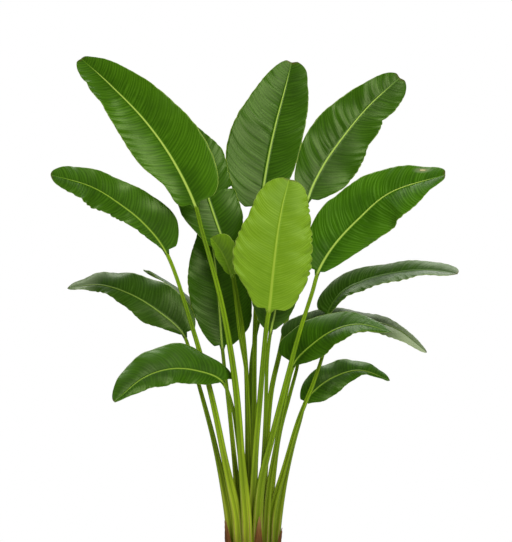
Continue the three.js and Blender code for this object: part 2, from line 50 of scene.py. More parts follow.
# Metres, +Z up, the plant's best side faces -Y. Each leaf is set by points on its stem and on its midrib.
# Left and right are seen from the upper face with the tip up, and pairs give left, then right.
# left and right: half-widths from base to tip, at places that lie closer together towards both ends.
# lobe: how far each half reaches back past the blade's base.
# face: where the upper face looks, at the base and at the tip.
# fold and droop: degrees that both halves rise beside the midrib, and bend back down to their edges.
# wave: the height of the edge's waves, their number and their phase.
# radius: the stem's half-width, low and high.
LEAVES = (
    {
        "name": "leaf_top_left",
        "stem": ((-0.014, -0.038, 0.25), (-0.018, -0.042, 0.35), (-0.026, -0.048, 0.47),
                 (-0.044, -0.078, 0.7), (-0.078, -0.104, 0.9), (-0.128, -0.118, 1.085)),
        "rib": ((-0.144, -0.118, 1.145), (-0.199, -0.106, 1.255), (-0.268, -0.08, 1.351),
                (-0.358, -0.036, 1.444), (-0.43, 0.024, 1.51)),
        "face": ((-0.25, -1, 0.05), (-0.1, -1, 0.4)),
        "fold": 14, "droop": 26, "wave": (0.004, 3, 0.1),
        "left": (0.039, 0.048, 0.074, 0.071, 0.054, 0.042, 0.026),
        "right": (0.067, 0.092, 0.096, 0.083, 0.067, 0.046, 0.02),
        "lobe": (0.008, 0.014), "radius": (0.0104, 0.0056),
    },
    {
        "name": "leaf_back_left",
        "stem": ((-0.028, 0.008, 0.25), (-0.014, 0.005, 0.455), (-0.014, 0.003, 0.66),
                 (-0.018, 0.0, 0.757), (-0.029, -0.004, 0.86), (-0.054, -0.008, 0.992)),
        "rib": ((-0.072, -0.008, 1.047), (-0.109, 0.0, 1.155), (-0.142, 0.018, 1.267), (-0.169, 0.044, 1.35)),
        "face": ((0, -1, 0.15), (0, -1, 0.15)),
        "fold": 12, "droop": 24, "wave": (0.004, 3, 0.4),
        "left": (0.035, 0.056, 0.077, 0.075, 0.062, 0.045, 0.022),
        "right": (0.04, 0.067, 0.071, 0.068, 0.069, 0.042, 0.02),
        "lobe": (0.01, 0.01), "radius": (0.0076, 0.0044),
    },
    {
        "name": "leaf_left_upper",
        "stem": ((-0.036, -0.03, 0.25), (-0.044, -0.03, 0.37), (-0.06, -0.03, 0.455),
                 (-0.094, -0.036, 0.627), (-0.114, -0.04, 0.71), (-0.152, -0.046, 0.842)),
        "rib": ((-0.217, -0.054, 1.027), (-0.272, -0.072, 1.097), (-0.333, -0.098, 1.146),
                (-0.394, -0.134, 1.183), (-0.492, -0.204, 1.212)),
        "face": ((-0.2, -1, 0.2), (0.1, -1, 0.5)),
        "fold": 12, "droop": 30, "wave": (0.005, 4, 0.2),
        "left": (0.007, 0.019, 0.029, 0.042, 0.052, 0.035, 0.022),
        "right": (0.04, 0.071, 0.067, 0.055, 0.047, 0.038, 0.02),
        "lobe": (0.002, 0.012), "radius": (0.0098, 0.0048),
    },
    {
        "name": "leaf_left_mid",
        "stem": ((-0.057, -0.008, 0.25), (-0.06, -0.008, 0.34), (-0.077, -0.006, 0.455),
                 (-0.097, -0.004, 0.553), (-0.124, -0.002, 0.655), (-0.152, 0.0, 0.752)),
        "rib": ((-0.174, 0.002, 0.82), (-0.244, 0.016, 0.882), (-0.31, 0.04, 0.92), (-0.385, 0.076, 0.942),
                (-0.47, 0.128, 0.934)),
        "face": ((-0.1, -1, 0.35), (0, -1, 0.9)),
        "fold": 12, "droop": 34, "wave": (0.005, 4, 0.7),
        "left": (0.012, 0.031, 0.046, 0.033, 0.022, 0.014, 0.007),
        "right": (0.042, 0.068, 0.074, 0.063, 0.05, 0.034, 0.022),
        "lobe": (0.004, 0.016), "radius": (0.009, 0.0044),
    },
    {
        "name": "leaf_left_rear",
        "stem": ((-0.048, 0.012, 0.25), (-0.052, 0.014, 0.4), (-0.068, 0.014, 0.52), (-0.094, 0.012, 0.64),
                 (-0.116, 0.018, 0.71), (-0.14, 0.038, 0.8)),
        "rib": ((-0.158, 0.066, 0.892), (-0.19, 0.12, 0.93), (-0.232, 0.182, 0.958), (-0.277, 0.246, 0.975)),
        "face": ((0.5, -0.1, 0.85), (0.5, 0.15, 0.85)),
        "fold": 4, "droop": 14, "wave": (0.002, 3, 0.3),
        "left": (0.023, 0.04, 0.048, 0.05, 0.043, 0.03, 0.014),
        "right": (0.023, 0.04, 0.048, 0.05, 0.043, 0.03, 0.014),
        "lobe": (0.006, 0.006), "radius": (0.007, 0.004),
    },
    {
        "name": "leaf_left_low",
        "stem": ((-0.019, -0.012, 0.25), (-0.027, -0.018, 0.455), (-0.04, -0.038, 0.575),
                 (-0.052, -0.058, 0.645)),
        "rib": ((-0.077, -0.074, 0.705), (-0.142, -0.104, 0.732), (-0.204, -0.134, 0.736),
                (-0.266, -0.168, 0.716), (-0.336, -0.22, 0.659)),
        "face": ((-0.2, -1, 0.5), (0, -0.9, 0.6)),
        "fold": 12, "droop": 34, "wave": (0.004, 4, 0.5),
        "left": (0.014, 0.032, 0.039, 0.043, 0.036, 0.018, 0.007),
        "right": (0.031, 0.049, 0.076, 0.072, 0.057, 0.039, 0.019),
        "lobe": (0.002, 0.036), "radius": (0.0076, 0.0044),
    },
    {
        "name": "leaf_centre_left",
        "stem": ((-0.038, -0.008, 0.25), (-0.042, -0.004, 0.452), (-0.054, 0.008, 0.587),
                 (-0.067, 0.022, 0.702)),
        "rib": ((-0.077, 0.036, 0.792), (-0.084, 0.048, 0.88), (-0.094, 0.058, 0.992),
                (-0.117, 0.076, 1.117)),
        "face": ((0, -1, 0.15), (0, -1, 0.15)),
        "fold": 16, "droop": 22, "wave": (0.003, 3, 0.6),
        "left": (0.027, 0.052, 0.07, 0.075, 0.062, 0.035, 0.017),
        "right": (0.038, 0.075, 0.084, 0.085, 0.073, 0.05, 0.023),
        "lobe": (0.01, 0.01), "radius": (0.0076, 0.0046),
    },
    {
        "name": "leaf_front",
        "stem": ((0.0, -0.024, 0.25), (-0.001, -0.03, 0.38), (0.003, -0.04, 0.455), (0.008, -0.06, 0.542),
                 (0.018, -0.086, 0.66), (0.026, -0.106, 0.757), (0.035, -0.122, 0.85)),
        "rib": ((0.041, -0.128, 0.885), (0.051, -0.138, 0.982), (0.063, -0.136, 1.08),
                (0.076, -0.128, 1.15), (0.09, -0.115, 1.203)),
        "face": ((0, -1, 0.15), (0, -1, 0.15)),
        "fold": 8, "droop": 22, "wave": (0.005, 5, 0.15),
        "left": (0.039, 0.064, 0.102, 0.1, 0.079, 0.065, 0.041),
        "right": (0.051, 0.075, 0.092, 0.091, 0.079, 0.062, 0.042),
        "lobe": (0.008, 0.008), "radius": (0.009, 0.006),
    },
    {
        "name": "leaf_small",
        "stem": ((-0.001, -0.003, 0.25), (-0.006, -0.016, 0.455), (-0.012, -0.024, 0.64),
                 (-0.018, -0.03, 0.728), (-0.033, -0.04, 0.812), (-0.042, -0.046, 0.885)),
        "rib": ((-0.054, -0.05, 0.97), (-0.067, -0.054, 1.005), (-0.084, -0.06, 1.035),
                (-0.104, -0.066, 1.06)),
        "face": ((-0.6, -1, 0), (-0.6, -1, 0)),
        "fold": 20, "droop": 20, "wave": (0.002, 2, 0.2),
        "left": (0.008, 0.015, 0.019, 0.02, 0.016, 0.011, 0.004),
        "right": (0.02, 0.032, 0.04, 0.046, 0.05, 0.046, 0.028),
        "lobe": (0.002, 0.006), "radius": (0.007, 0.0036),
    },
    {
        "name": "leaf_inner",
        "stem": ((0.019, -0.01, 0.25), (0.026, -0.018, 0.455), (0.033, -0.032, 0.615),
                 (0.037, -0.044, 0.755)),
        "rib": ((0.046, -0.056, 0.832), (0.056, -0.062, 0.88), (0.066, -0.07, 0.98), (0.076, -0.072, 1.11)),
        "face": ((0.2, -1, 0.1), (0.1, -1, 0.1)),
        "fold": 14, "droop": 20, "wave": (0.003, 3, 0.3),
        "left": (0.028, 0.052, 0.068, 0.072, 0.065, 0.048, 0.024),
        "right": (0.016, 0.037, 0.053, 0.058, 0.052, 0.039, 0.02),
        "lobe": (0.004, 0.004), "radius": (0.0076, 0.0044),
    },
    {
        "name": "leaf_top_centre",
        "stem": ((-0.008, 0.018, 0.25), (0.002, 0.022, 0.455), (0.003, 0.018, 0.615), (0.004, 0.018, 0.76),
                 (0.008, 0.026, 0.89), (0.014, 0.044, 1.03)),
        "rib": ((0.021, 0.058, 1.14), (0.038, 0.08, 1.255), (0.058, 0.106, 1.349), (0.082, 0.136, 1.441),
                (0.099, 0.168, 1.51)),
        "face": ((0, -1, 0.15), (0, -1, 0.15)),
        "fold": 14, "droop": 20, "wave": (0.003, 3, 0.7),
        "left": (0.053, 0.087, 0.109, 0.105, 0.082, 0.057, 0.031),
        "right": (0.032, 0.056, 0.073, 0.076, 0.071, 0.055, 0.039),
        "lobe": (0.016, 0.01), "radius": (0.0082, 0.005),
    },
    {
        "name": "leaf_top_right",
        "stem": ((0.018, 0.012, 0.25), (0.03, 0.02, 0.455), (0.046, 0.036, 0.67), (0.068, 0.064, 0.77),
                 (0.084, 0.088, 0.845), (0.116, 0.102, 1.01)),
        "rib": ((0.141, 0.122, 1.162), (0.178, 0.15, 1.243), (0.224, 0.178, 1.311), (0.295, 0.216, 1.398),
                (0.379, 0.256, 1.476)),
        "face": ((0.1, -1, 0.15), (0.1, -1, 0.3)),
        "fold": 14, "droop": 22, "wave": (0.006, 4, 0.5),
        "left": (0.037, 0.062, 0.079, 0.079, 0.061, 0.046, 0.029),
        "right": (0.036, 0.071, 0.083, 0.071, 0.065, 0.055, 0.036),
        "lobe": (0.008, 0.006), "radius": (0.008, 0.0048),
    },
    {
        "name": "leaf_right_upper",
        "stem": ((0.014, -0.038, 0.25), (0.016, -0.042, 0.382), (0.026, -0.05, 0.475),
                 (0.048, -0.06, 0.565), (0.086, -0.076, 0.715), (0.116, -0.08, 0.827),
                 (0.148, -0.074, 0.927)),
        "rib": ((0.163, -0.068, 0.977), (0.201, -0.066, 1.04), (0.262, -0.08, 1.106),
                (0.335, -0.108, 1.168), (0.471, -0.176, 1.213)),
        "face": ((0, -1, 0.3), (0, -0.9, 0.7)),
        "fold": 14, "droop": 24, "wave": (0.004, 4, 0.2),
        "left": (0.04, 0.07, 0.087, 0.079, 0.064, 0.044, 0.026),
        "right": (0.022, 0.047, 0.066, 0.083, 0.085, 0.058, 0.023),
        "lobe": (0.012, 0.004), "radius": (0.0096, 0.005),
    },
    {
        "name": "leaf_right_mid",
        "stem": ((0.046, -0.014, 0.25), (0.05, -0.015, 0.37), (0.078, -0.016, 0.485),
                 (0.113, -0.016, 0.607), (0.151, -0.014, 0.702), (0.181, -0.01, 0.8)),
        "rib": ((0.188, -0.008, 0.872), (0.223, -0.014, 0.925), (0.273, -0.03, 0.952),
                (0.346, -0.062, 0.972), (0.428, -0.1, 0.98), (0.502, -0.148, 0.97)),
        "face": ((-0.4, -0.7, 0.6), (0, -0.35, 1)),
        "fold": 24, "droop": 30, "wave": (0.002, 3, 0.4),
        "left": (0.041, 0.048, 0.046, 0.04, 0.04, 0.037, 0.026),
        "right": (0.013, 0.029, 0.044, 0.057, 0.06, 0.05, 0.037),
        "lobe": (0.01, 0.004), "radius": (0.009, 0.0046),
    },
    {
        "name": "leaf_right_front",
        "stem": ((0.033, -0.028, 0.25), (0.036, -0.028, 0.35), (0.043, -0.028, 0.452),
                 (0.063, -0.03, 0.575), (0.082, -0.034, 0.672)),
        "rib": ((0.103, -0.042, 0.747), (0.148, -0.066, 0.795), (0.203, -0.096, 0.832),
                (0.26, -0.13, 0.846), (0.34, -0.184, 0.828)),
        "face": ((-0.3, -1, 0.4), (0.2, -0.6, 1)),
        "fold": 12, "droop": 30, "wave": (0.003, 3, 0.6),
        "left": (0.064, 0.071, 0.068, 0.054, 0.039, 0.022, 0.007),
        "right": (0.015, 0.034, 0.047, 0.046, 0.037, 0.019, 0.006),
        "lobe": (0.014, 0.004), "radius": (0.0076, 0.0046),
    },
    {
        "name": "leaf_right_low",
        "stem": ((0.06, 0.002, 0.25), (0.061, 0.002, 0.315), (0.078, 0.01, 0.44), (0.101, 0.018, 0.542),
                 (0.118, 0.022, 0.6)),
        "rib": ((0.133, 0.026, 0.65), (0.161, 0.034, 0.682), (0.206, 0.056, 0.711), (0.269, 0.09, 0.726),
                (0.348, 0.136, 0.7)),
        "face": ((-0.1, -1, 0.5), (0.1, -0.8, 0.7)),
        "fold": 12, "droop": 34, "wave": (0.003, 4, 0.1),
        "left": (0.021, 0.04, 0.046, 0.044, 0.034, 0.028, 0.019),
        "right": (0.014, 0.039, 0.042, 0.03, 0.013, 0.006, 0.006),
        "lobe": (0.008, 0.008), "radius": (0.009, 0.0042),
    },
    {
        "name": "leaf_right_rear",
        "stem": ((0.038, 0.006, 0.25), (0.048, 0.008, 0.43), (0.066, 0.012, 0.57), (0.091, 0.018, 0.665),
                 (0.11, 0.026, 0.735)),
        "rib": ((0.12, 0.034, 0.792), (0.178, 0.05, 0.838), (0.257, 0.078, 0.855), (0.359, 0.116, 0.833),
                (0.443, 0.152, 0.771)),
        "face": ((-0.3, -1, 0.6), (0.2, -0.6, 1)),
        "fold": 12, "droop": 28, "wave": (0.003, 3, 0.3),
        "left": (0.072, 0.068, 0.05, 0.032, 0.029, 0.027, 0.015),
        "right": (0.024, 0.038, 0.045, 0.044, 0.04, 0.03, 0.014),
        "lobe": (0.016, 0.004), "radius": (0.0076, 0.0044),
    },
    {
        "name": "leaf_rear",
        "stem": ((0.005, 0.032, 0.25), (0.0, 0.042, 0.455), (-0.004, 0.046, 0.742), (0.008, 0.06, 0.82)),
        "rib": ((0.028, 0.092, 0.9), (0.044, 0.132, 0.99), (0.06, 0.192, 1.076), (0.074, 0.278, 1.122)),
        "face": ((0, -1, 0.7), (0, -0.5, 1)),
        "fold": 12, "droop": 28, "wave": (0.003, 3, 0.8),
        "left": (0.028, 0.046, 0.054, 0.055, 0.047, 0.033, 0.016),
        "right": (0.028, 0.046, 0.054, 0.055, 0.047, 0.033, 0.016),
        "lobe": (0.008, 0.008), "radius": (0.0074, 0.0042),
    },
)

# What each leaf shows besides its main form, in left and right pairs where the halves differ.
# A pair that is left out is two noughts. Side 0 is the left half and side 1 the right one.
# tone: its finish. ruffle: height of the small waves at each edge. scallop: depth of the small notches in it.
# curl: how far each edge is raised. sag: how far the middle of each half hangs.
# pleat: height of the folds along the side veins. notch: depth of the cleft at the tip.
# dents: side, share of the length, depth and half-length of each hollow in an edge.
# tear: side, place along the blade, depth as a share of the half-width and half-length along the blade.
LOOKS = {
    "leaf_top_left": {"tone": "mid", "ruffle": (0.0028, 0.0006), "scallop": (0.0006, 0.0004),
        "curl": (0.026, 0.006), "sag": (0.003, 0.0), "pleat": (0.001, 0.0004), "notch": 0.006,
        "dents": ((0, 0.84, 0.004, 0.05), (0, 0.7, 0.003, 0.06))},
    "leaf_back_left": {"tone": "deep", "ruffle": (0.001, 0.0012), "scallop": (0.0006, 0.002),
        "curl": (0.006, 0.002), "pleat": (0.0004, 0.0004), "tear": (1, 0.4, 0.28, 0.014)},
    "leaf_left_upper": {"tone": "shaded", "ruffle": (0.0024, 0.0006), "scallop": (0.003, 0.0006),
        "curl": (0.006, 0.004), "pleat": (0.0006, 0.0006)},
    "leaf_left_mid": {"tone": "grey_sheen_tip", "ruffle": (0.0014, 0.0006), "scallop": (0.0016, 0.0004),
        "pleat": (0.0004, 0.0004)},
    "leaf_left_rear": {"tone": "dull", "pleat": (0.0003, 0.0003)},
    "leaf_left_low": {"tone": "shaded", "ruffle": (0.0008, 0.0006), "scallop": (0.0008, 0.0004),
        "pleat": (0.0003, 0.0003)},
    "leaf_centre_left": {"tone": "deep", "ruffle": (0.0008, 0.0008), "scallop": (0.0012, 0.001),
        "curl": (0.005, 0.0), "pleat": (0.0003, 0.0003)},
    "leaf_front": {"tone": "young", "ruffle": (0.0026, 0.0036), "scallop": (0.0036, 0.0056),
        "curl": (0.004, 0.0), "pleat": (0.0005, 0.0011), "notch": 0.003},
    "leaf_small": {"tone": "fresh", "ruffle": (0.0008, 0.001), "scallop": (0.0014, 0.0016),
        "pleat": (0.0003, 0.0003)},
    "leaf_inner": {"tone": "deep", "ruffle": (0.0008, 0.0008), "scallop": (0.0012, 0.0012),
        "pleat": (0.0004, 0.0004)},
    "leaf_top_centre": {"tone": "deep", "ruffle": (0.001, 0.001), "scallop": (0.0006, 0.001),
        "curl": (0.002, 0.012), "sag": (0.0068, 0.0), "pleat": (0.0015, 0.0005), "notch": 0.007},
    "leaf_top_right": {"tone": "deep", "ruffle": (0.001, 0.0022), "scallop": (0.0006, 0.0022),
        "curl": (0.012, 0.016), "sag": (0.003, 0.0), "pleat": (0.0022, 0.0007), "notch": 0.007,
        "dents": ((1, 0.7, 0.011, 0.11), (1, 0.5, 0.005, 0.08))},
    "leaf_right_upper": {"tone": "spotted", "ruffle": (0.0006, 0.0008), "scallop": (0.0004, 0.0006),
        "curl": (0.003, 0.0), "pleat": (0.0013, 0.0015), "notch": 0.005,
        "dents": ((1, 0.905, 0.008, 0.08), (1, 0.62, 0.004, 0.08))},
    "leaf_right_mid": {"tone": "folded", "ruffle": (0.0004, 0.0012), "scallop": (0.0003, 0.0022),
        "pleat": (0.0005, 0.0005)},
    "leaf_right_front": {"tone": "shaded", "ruffle": (0.0004, 0.0008), "scallop": (0.0004, 0.001),
        "pleat": (0.0004, 0.0004)},
    "leaf_right_low": {"tone": "shaded", "ruffle": (0.0006, 0.0008), "scallop": (0.0006, 0.001),
        "pleat": (0.0004, 0.0004)},
    "leaf_right_rear": {"tone": "bleached", "ruffle": (0.0004, 0.0008), "scallop": (0.0008, 0.0016),
        "pleat": (0.0004, 0.0004)},
    "leaf_rear": {"tone": "deep", "ruffle": (0.0008, 0.0008), "scallop": (0.0012, 0.0012),
        "pleat": (0.0003, 0.0003)},
}

# The dry sheaths: the leaf whose stem each wraps, the angle that its middle looks to, anticlockwise from +X
# seen from above, how far round it goes, both in degrees, and its height.
SHEATHS = (
    {"name": "dry_sheath_left", "leaf": "leaf_left_mid", "middle": 235, "span": 170, "height": 0.118},
    {"name": "dry_sheath_middle", "leaf": "leaf_right_upper", "middle": 275, "span": 150, "height": 0.130},
    {"name": "dry_sheath_right", "leaf": "leaf_right_low", "middle": 330, "span": 150, "height": 0.096},
)

# ------------------------------------------------------------------ the plant's form
GAP = 0.0003
BLADE_THICKNESS = 0.0010
BLADE_ROWS = 168
BLADE_COLUMNS = 44
RIB_SHARE = 0.0909  # share of each half's columns that lie over the midrib
END_CROWDING = 0.6
LEAST_REACH = 0.0012
SIDE_PHASE = 0.37
LEVEL = (0.0, 0.0)  # for a pair that a leaf's looks leave out
MOST_CLEFT = 0.016  # the tip's cleft has its full depth from this far beside the midrib
LOBE_LENGTH = 7
SCALLOP_LENGTH = 0.024  # between two notches in a blade's edge
LOBE_START = 0.02
RIB_MARGIN = 0.0002
RIB_END = 0.94
RIB_TIP_RADIUS = 0.0012
RIB_RISE = 0.0011  # the midrib's ridge over the upper face
TONGUE = 0.012  # the blade's base runs down this far into the stem's channel
TONGUE_DEPTH = 0.0022
RIPPLE_LENGTH = 0.026  # between two small waves of an edge

STEM_TOP_FLAT = 0.72
STEM_CENTRE = 0.7
STEM_TAPER = 1.15
STEM_TAPER_BEND = 1.3
STEM_SIDES = 24
STEM_STATIONS = 56
RIB_STATIONS = 40
STEM_GROOVE = 0.42  # depth of the channel in the stem's upper side, in radii
FOOT_GROOVE = 0.30  # the same at the soil
FOOT_BLEND = 1 / 9
FOOT_CLASP = 0.42  # a stem's extra width by the soil, in half-widths
CLASP_HEIGHTS = (0.10, 0.29)  # over the soil: full up to the first, none from the second
CLUMP_REACH = 0.03
CURVE_STEPS = 24

SOIL_TOP = 0.250
STEM_DEPTH = 0.040
SHEATH_THICKNESS = 0.0009
SHEATH_CLEARANCE = 0.0006
SHEATH_FIT = 1.12
SHEATH_POINT = 0.20
SHEATH_ROWS = 30
SHEATH_COLUMNS = 12

SOIL_LEVEL_RADIUS = 0.084  # soil_level is level within this, and falls to the edge outside it
SOIL_EDGE_DROP = 0.007
SOIL_RINGS = 20
DRAIN_HOLES = 5
DRAIN_RING = 0.062  # distance of the drain holes from the pot's middle
FOOT_CORNER = 0.006  # the pot's inner corner and the soil's foot are drawn in by this
CRUMB_CLEARANCE = 0.004  # least distance of a crumb's or chip's middle from a stem
CHIP_HALF_SIZES = ((0.003, 0.008), (0.0018, 0.0036), (0.0007, 0.0014))  # least and most: length, width, depth
CAMERA_DISTANCE = 8.0
FRAME_HEIGHT = 1.355  # what the picture's long side spans at the plant


def mix(a, b, share):
    return a + (b - a) * share


def clamp(value, low=0.0, high=1.0):
    return max(low, min(high, value))


def smooth(low, high, value):
    share = clamp((value - low) / (high - low))
    return share * share * (3 - 2 * share)


def curve_piece(p0, p1, p2, p3, share):
    """A point on the smooth curve through p1 and p2, centripetal, with p0 and p3 as its neighbours."""
    d0 = (p0 - p1).length ** 0.5
    d1 = (p1 - p2).length ** 0.5
    d2 = (p2 - p3).length ** 0.5
    start = ((p1 - p0) / d0 - (p2 - p0) / (d0 + d1) + (p2 - p1) / d1) * d1
    end = ((p2 - p1) / d1 - (p3 - p1) / (d1 + d2) + (p3 - p2) / d2) * d1
    square = share * share
    cube = square * share
    return (p1 + start * share + (-3 * p1 + 3 * p2 - 2 * start - end) * square
            + (2 * p1 - 2 * p2 + start + end) * cube)


class MiddleLine:
    """A leaf's middle line from the soil to the tip, with the frame at any length along it."""

    def __init__(self, leaf):
        points = [Vector(point) for point in leaf["stem"] + leaf["rib"]]
        first = points[0] * 2 - points[1]
        last = points[-1] * 2 - points[-2]
        self.points = [first] + points + [last]
        self.pieces = len(points) - 1
        steps = self.pieces * CURVE_STEPS
        self.lengths = [0.0]
        before = self.point(0)
        for step in range(1, steps + 1):
            here = self.point(step / steps)
            self.lengths.append(self.lengths[-1] + (here - before).length)
            before = here
        self.total = self.lengths[-1]
        self.blade_start = self.lengths[len(leaf["stem"]) * CURVE_STEPS]
        self.face = [Vector(way).normalized() for way in leaf["face"]]

    def point(self, share):
        place = clamp(share) * self.pieces
        piece = min(int(place), self.pieces - 1)
        return curve_piece(*self.points[piece:piece + 4], place - piece)

    def share_at(self, distance):
        low, high = 0, len(self.lengths) - 1
        while high - low > 1:
            middle = (low + high) // 2
            if self.lengths[middle] <= distance:
                low = middle
            else:
                high = middle
        step = (distance - self.lengths[low]) / (self.lengths[high] - self.lengths[low])
        return (low + clamp(step)) / (len(self.lengths) - 1)

    def frame_at(self, distance):
        """Place, direction along the leaf, direction that the upper face looks and direction to the right."""
        share = self.share_at(clamp(distance, 0.0, self.total))
        place = self.point(share)
        ahead = (self.point(share + 1e-4) - self.point(share - 1e-4)).normalized()
        along = clamp((distance - self.blade_start) / (self.total - self.blade_start))
        up = self.face[0].lerp(self.face[1], along)
        up = (up - ahead * up.dot(ahead)).normalized()
        return place, ahead, up, ahead.cross(up)


def rib_radius(leaf, share):
    return mix(leaf["radius"][1], RIB_TIP_RADIUS, min(max(share, 0) / RIB_END, 1))


def half_width(widths, share):
    """The half-width at a share of the blade's length, smooth through the given ones, round at the ends."""
    points = (-widths[0], 0.0) + widths + (0.0, -widths[-1])
    spans = len(widths) + 1
    place = math.acos(clamp(1 - 2 * share, -1.0, 1.0)) / math.pi * spans
    span = min(int(place), spans - 1)
    before, start, end, after = points[span:span + 4]
    t = place - span
    curve = 2 * start + (end - before) * t + (2 * before - 5 * start + 4 * end - after) * t ** 2
    return (curve + (3 * (start - end) + after - before) * t ** 3) / 2


def row_share(row):
    """Rows lie closer together towards the blade's base and tip."""
    return mix(row, (1 - math.cos(math.pi * row)) / 2, END_CROWDING)


def blade_point(leaf, looks, line, row_frame, share, column, seed):
    """A point of the blade's middle sheet, its distance sideways and where on the rib its vein starts."""
    place, ahead, up, right = row_frame
    side = 0 if column < 0 else 1
    sign = -1 if column < 0 else 1
    strip = rib_radius(leaf, share) * STEM_TOP_FLAT + RIB_MARGIN
    length = line.total - line.blade_start
    if abs(column) <= RIB_SHARE + 1e-4:
        across = abs(column) / RIB_SHARE
        ridge = RIB_RISE * (0.35 + 0.65 * math.sin(math.pi * clamp(across, 0, 1)) ** 0.8)
        ridge *= 1 - smooth(0.8, 1.0, share)
        if across > 0.99:
            ridge = 0.0
        point = place + right * (sign * strip * across) + up * ridge
        return point, sign * strip * across, share * length
    out = (abs(column) - RIB_SHARE) / (1 - RIB_SHARE)
    height, count, phase = leaf["wave"]
    swing = math.sin(2 * math.pi * (count * share + phase + SIDE_PHASE * side))
    calm = max(math.sin(math.pi * share), 0) ** 0.7
    half = half_width(leaf["left" if side == 0 else "right"], share)
    half *= 1 + 0.018 * calm * noise.noise(Vector((share * length * 55, side * 7.0, seed)))
    beat = share * length / SCALLOP_LENGTH
    beat += 1.6 * noise.noise(Vector((share * length * 18, side * 3.0, seed + 7.0)))
    half -= looks.get("scallop", LEVEL)[side] * calm * (1 - abs(math.sin(math.pi * beat))) ** 1.5
    for dented, at, depth, width in looks.get("dents", ()):
        if dented == side:
            half -= depth * max(0.0, 1 - abs(share - at) / width) ** 1.5
    if "tear" in looks and looks["tear"][0] == side:
        _, at, depth, width = looks["tear"]
        half *= 1 - depth * max(0.0, 1 - abs(share - at) / width) ** 0.8
    reach = max(half - strip, LEAST_REACH)
    fold = math.radians(leaf["fold"])
    droop = math.radians(leaf["droop"])
    sideways = strip + reach * (math.sin(fold) - math.sin(fold - droop * out)) / droop
    raised = reach * (math.cos(fold - droop * out) - math.cos(fold)) / droop
    raised += height * swing * calm * out ** 2 + looks.get("curl", LEVEL)[side] * calm * out ** 2
    raised -= looks.get("sag", LEVEL)[side] * 4 * out * (1 - out) * calm
    # The side veins leave the rib at a steep angle and bend towards the tip near the edge.
    vein = share * length - reach * (0.36 * out + 0.30 * out ** 3)
    pleat = noise.noise(Vector((vein * 62, out * 0.7 + side * 5.0, seed + 3.0)))
    pleat += 0.5 * noise.noise(Vector((vein * 140, out * 0.9 + side * 5.0, seed + 9.0)))
    body = min(out / 0.12, 1) * (1 - 0.35 * out) * calm
    raised += looks["pleat"][side] * 1.5 * pleat * body
    ripple = math.sin(vein * 2 * math.pi / RIPPLE_LENGTH
                      + 3 * noise.noise(Vector((vein * 22, side * 9.0, seed + 5.0))))
    raised += looks.get("ruffle", LEVEL)[side] * ripple * out ** 4 * calm
    back = leaf["lobe"][side] * (1 - share) ** LOBE_LENGTH * out ** 1.5 * min(share / LOBE_START, 1)
    cleft = looks.get("notch", 0.0) * smooth(0.0, MOST_CLEFT, sideways - strip) * share ** 26
    point = place + right * (sign * sideways) + up * raised + ahead * (cleft - back)
    return point, sign * sideways, vein


def new_object(name, data):
    thing = bpy.data.objects.new(name, data)
    bpy.context.scene.collection.objects.link(thing)
    return thing


def new_mesh(name, bm):
    mesh = bpy.data.meshes.new(name)
    bm.to_mesh(mesh)
    bm.free()
    return mesh


def new_piece(name, bm, materials, replaced):
    """Turns a bmesh into a smooth object of the plant that rides on the part's body."""
    mesh = new_mesh(name, bm)
    for polygon in mesh.polygons:
        polygon.use_smooth = True
    for material in materials:
        mesh.materials.append(material)
    piece = new_object(name, mesh)
    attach(piece, "root")
    if replaced:
        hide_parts(*replaced)
    return piece


def blade_mesh(leaf, looks, line, seed):
    bm = bmesh.new()
    span_map = bm.loops.layers.uv.new("span")
    vein_map = bm.loops.layers.uv.new("veins")
    bmesh.ops.create_grid(bm, x_segments=BLADE_COLUMNS, y_segments=BLADE_ROWS, size=1.0)
    frames = {}
    spans = {}
    veins = {}
    length = line.total - line.blade_start
    for vert in bm.verts:
        column, row = vert.co.x, (vert.co.y + 1) / 2
        key = round(row * BLADE_ROWS)
        if key not in frames:
            share = row_share(key / BLADE_ROWS)
            frames[key] = share, line.frame_at(line.blade_start + length * share)
        share, row_frame = frames[key]
        point, sideways, vein = blade_point(leaf, looks, line, row_frame, share, column, seed)
        if key == 0:
            point -= row_frame[1] * TONGUE + row_frame[2] * TONGUE_DEPTH
            vein -= TONGUE
        vert.co = point
        spans[vert] = (column / 2 + 0.5, share)
        veins[vert] = (sideways, vein)
    for face in bm.faces:
        for loop in face.loops:
            loop[span_map].uv = spans[loop.vert]
            loop[vein_map].uv = veins[loop.vert]
    return bm


def stem_section(angle, groove):
    """The stem's outline: round below, with two lips and a channel between them on the upper side."""
    x = math.cos(angle)
    y = -0.66 + 0.72 * math.sin(angle)
    if math.sin(angle) > 0:
        y += 0.10 * math.exp(-((abs(x) - 0.62) / 0.22) ** 2) - groove * math.exp(-(x / 0.34) ** 2)
    return x, y


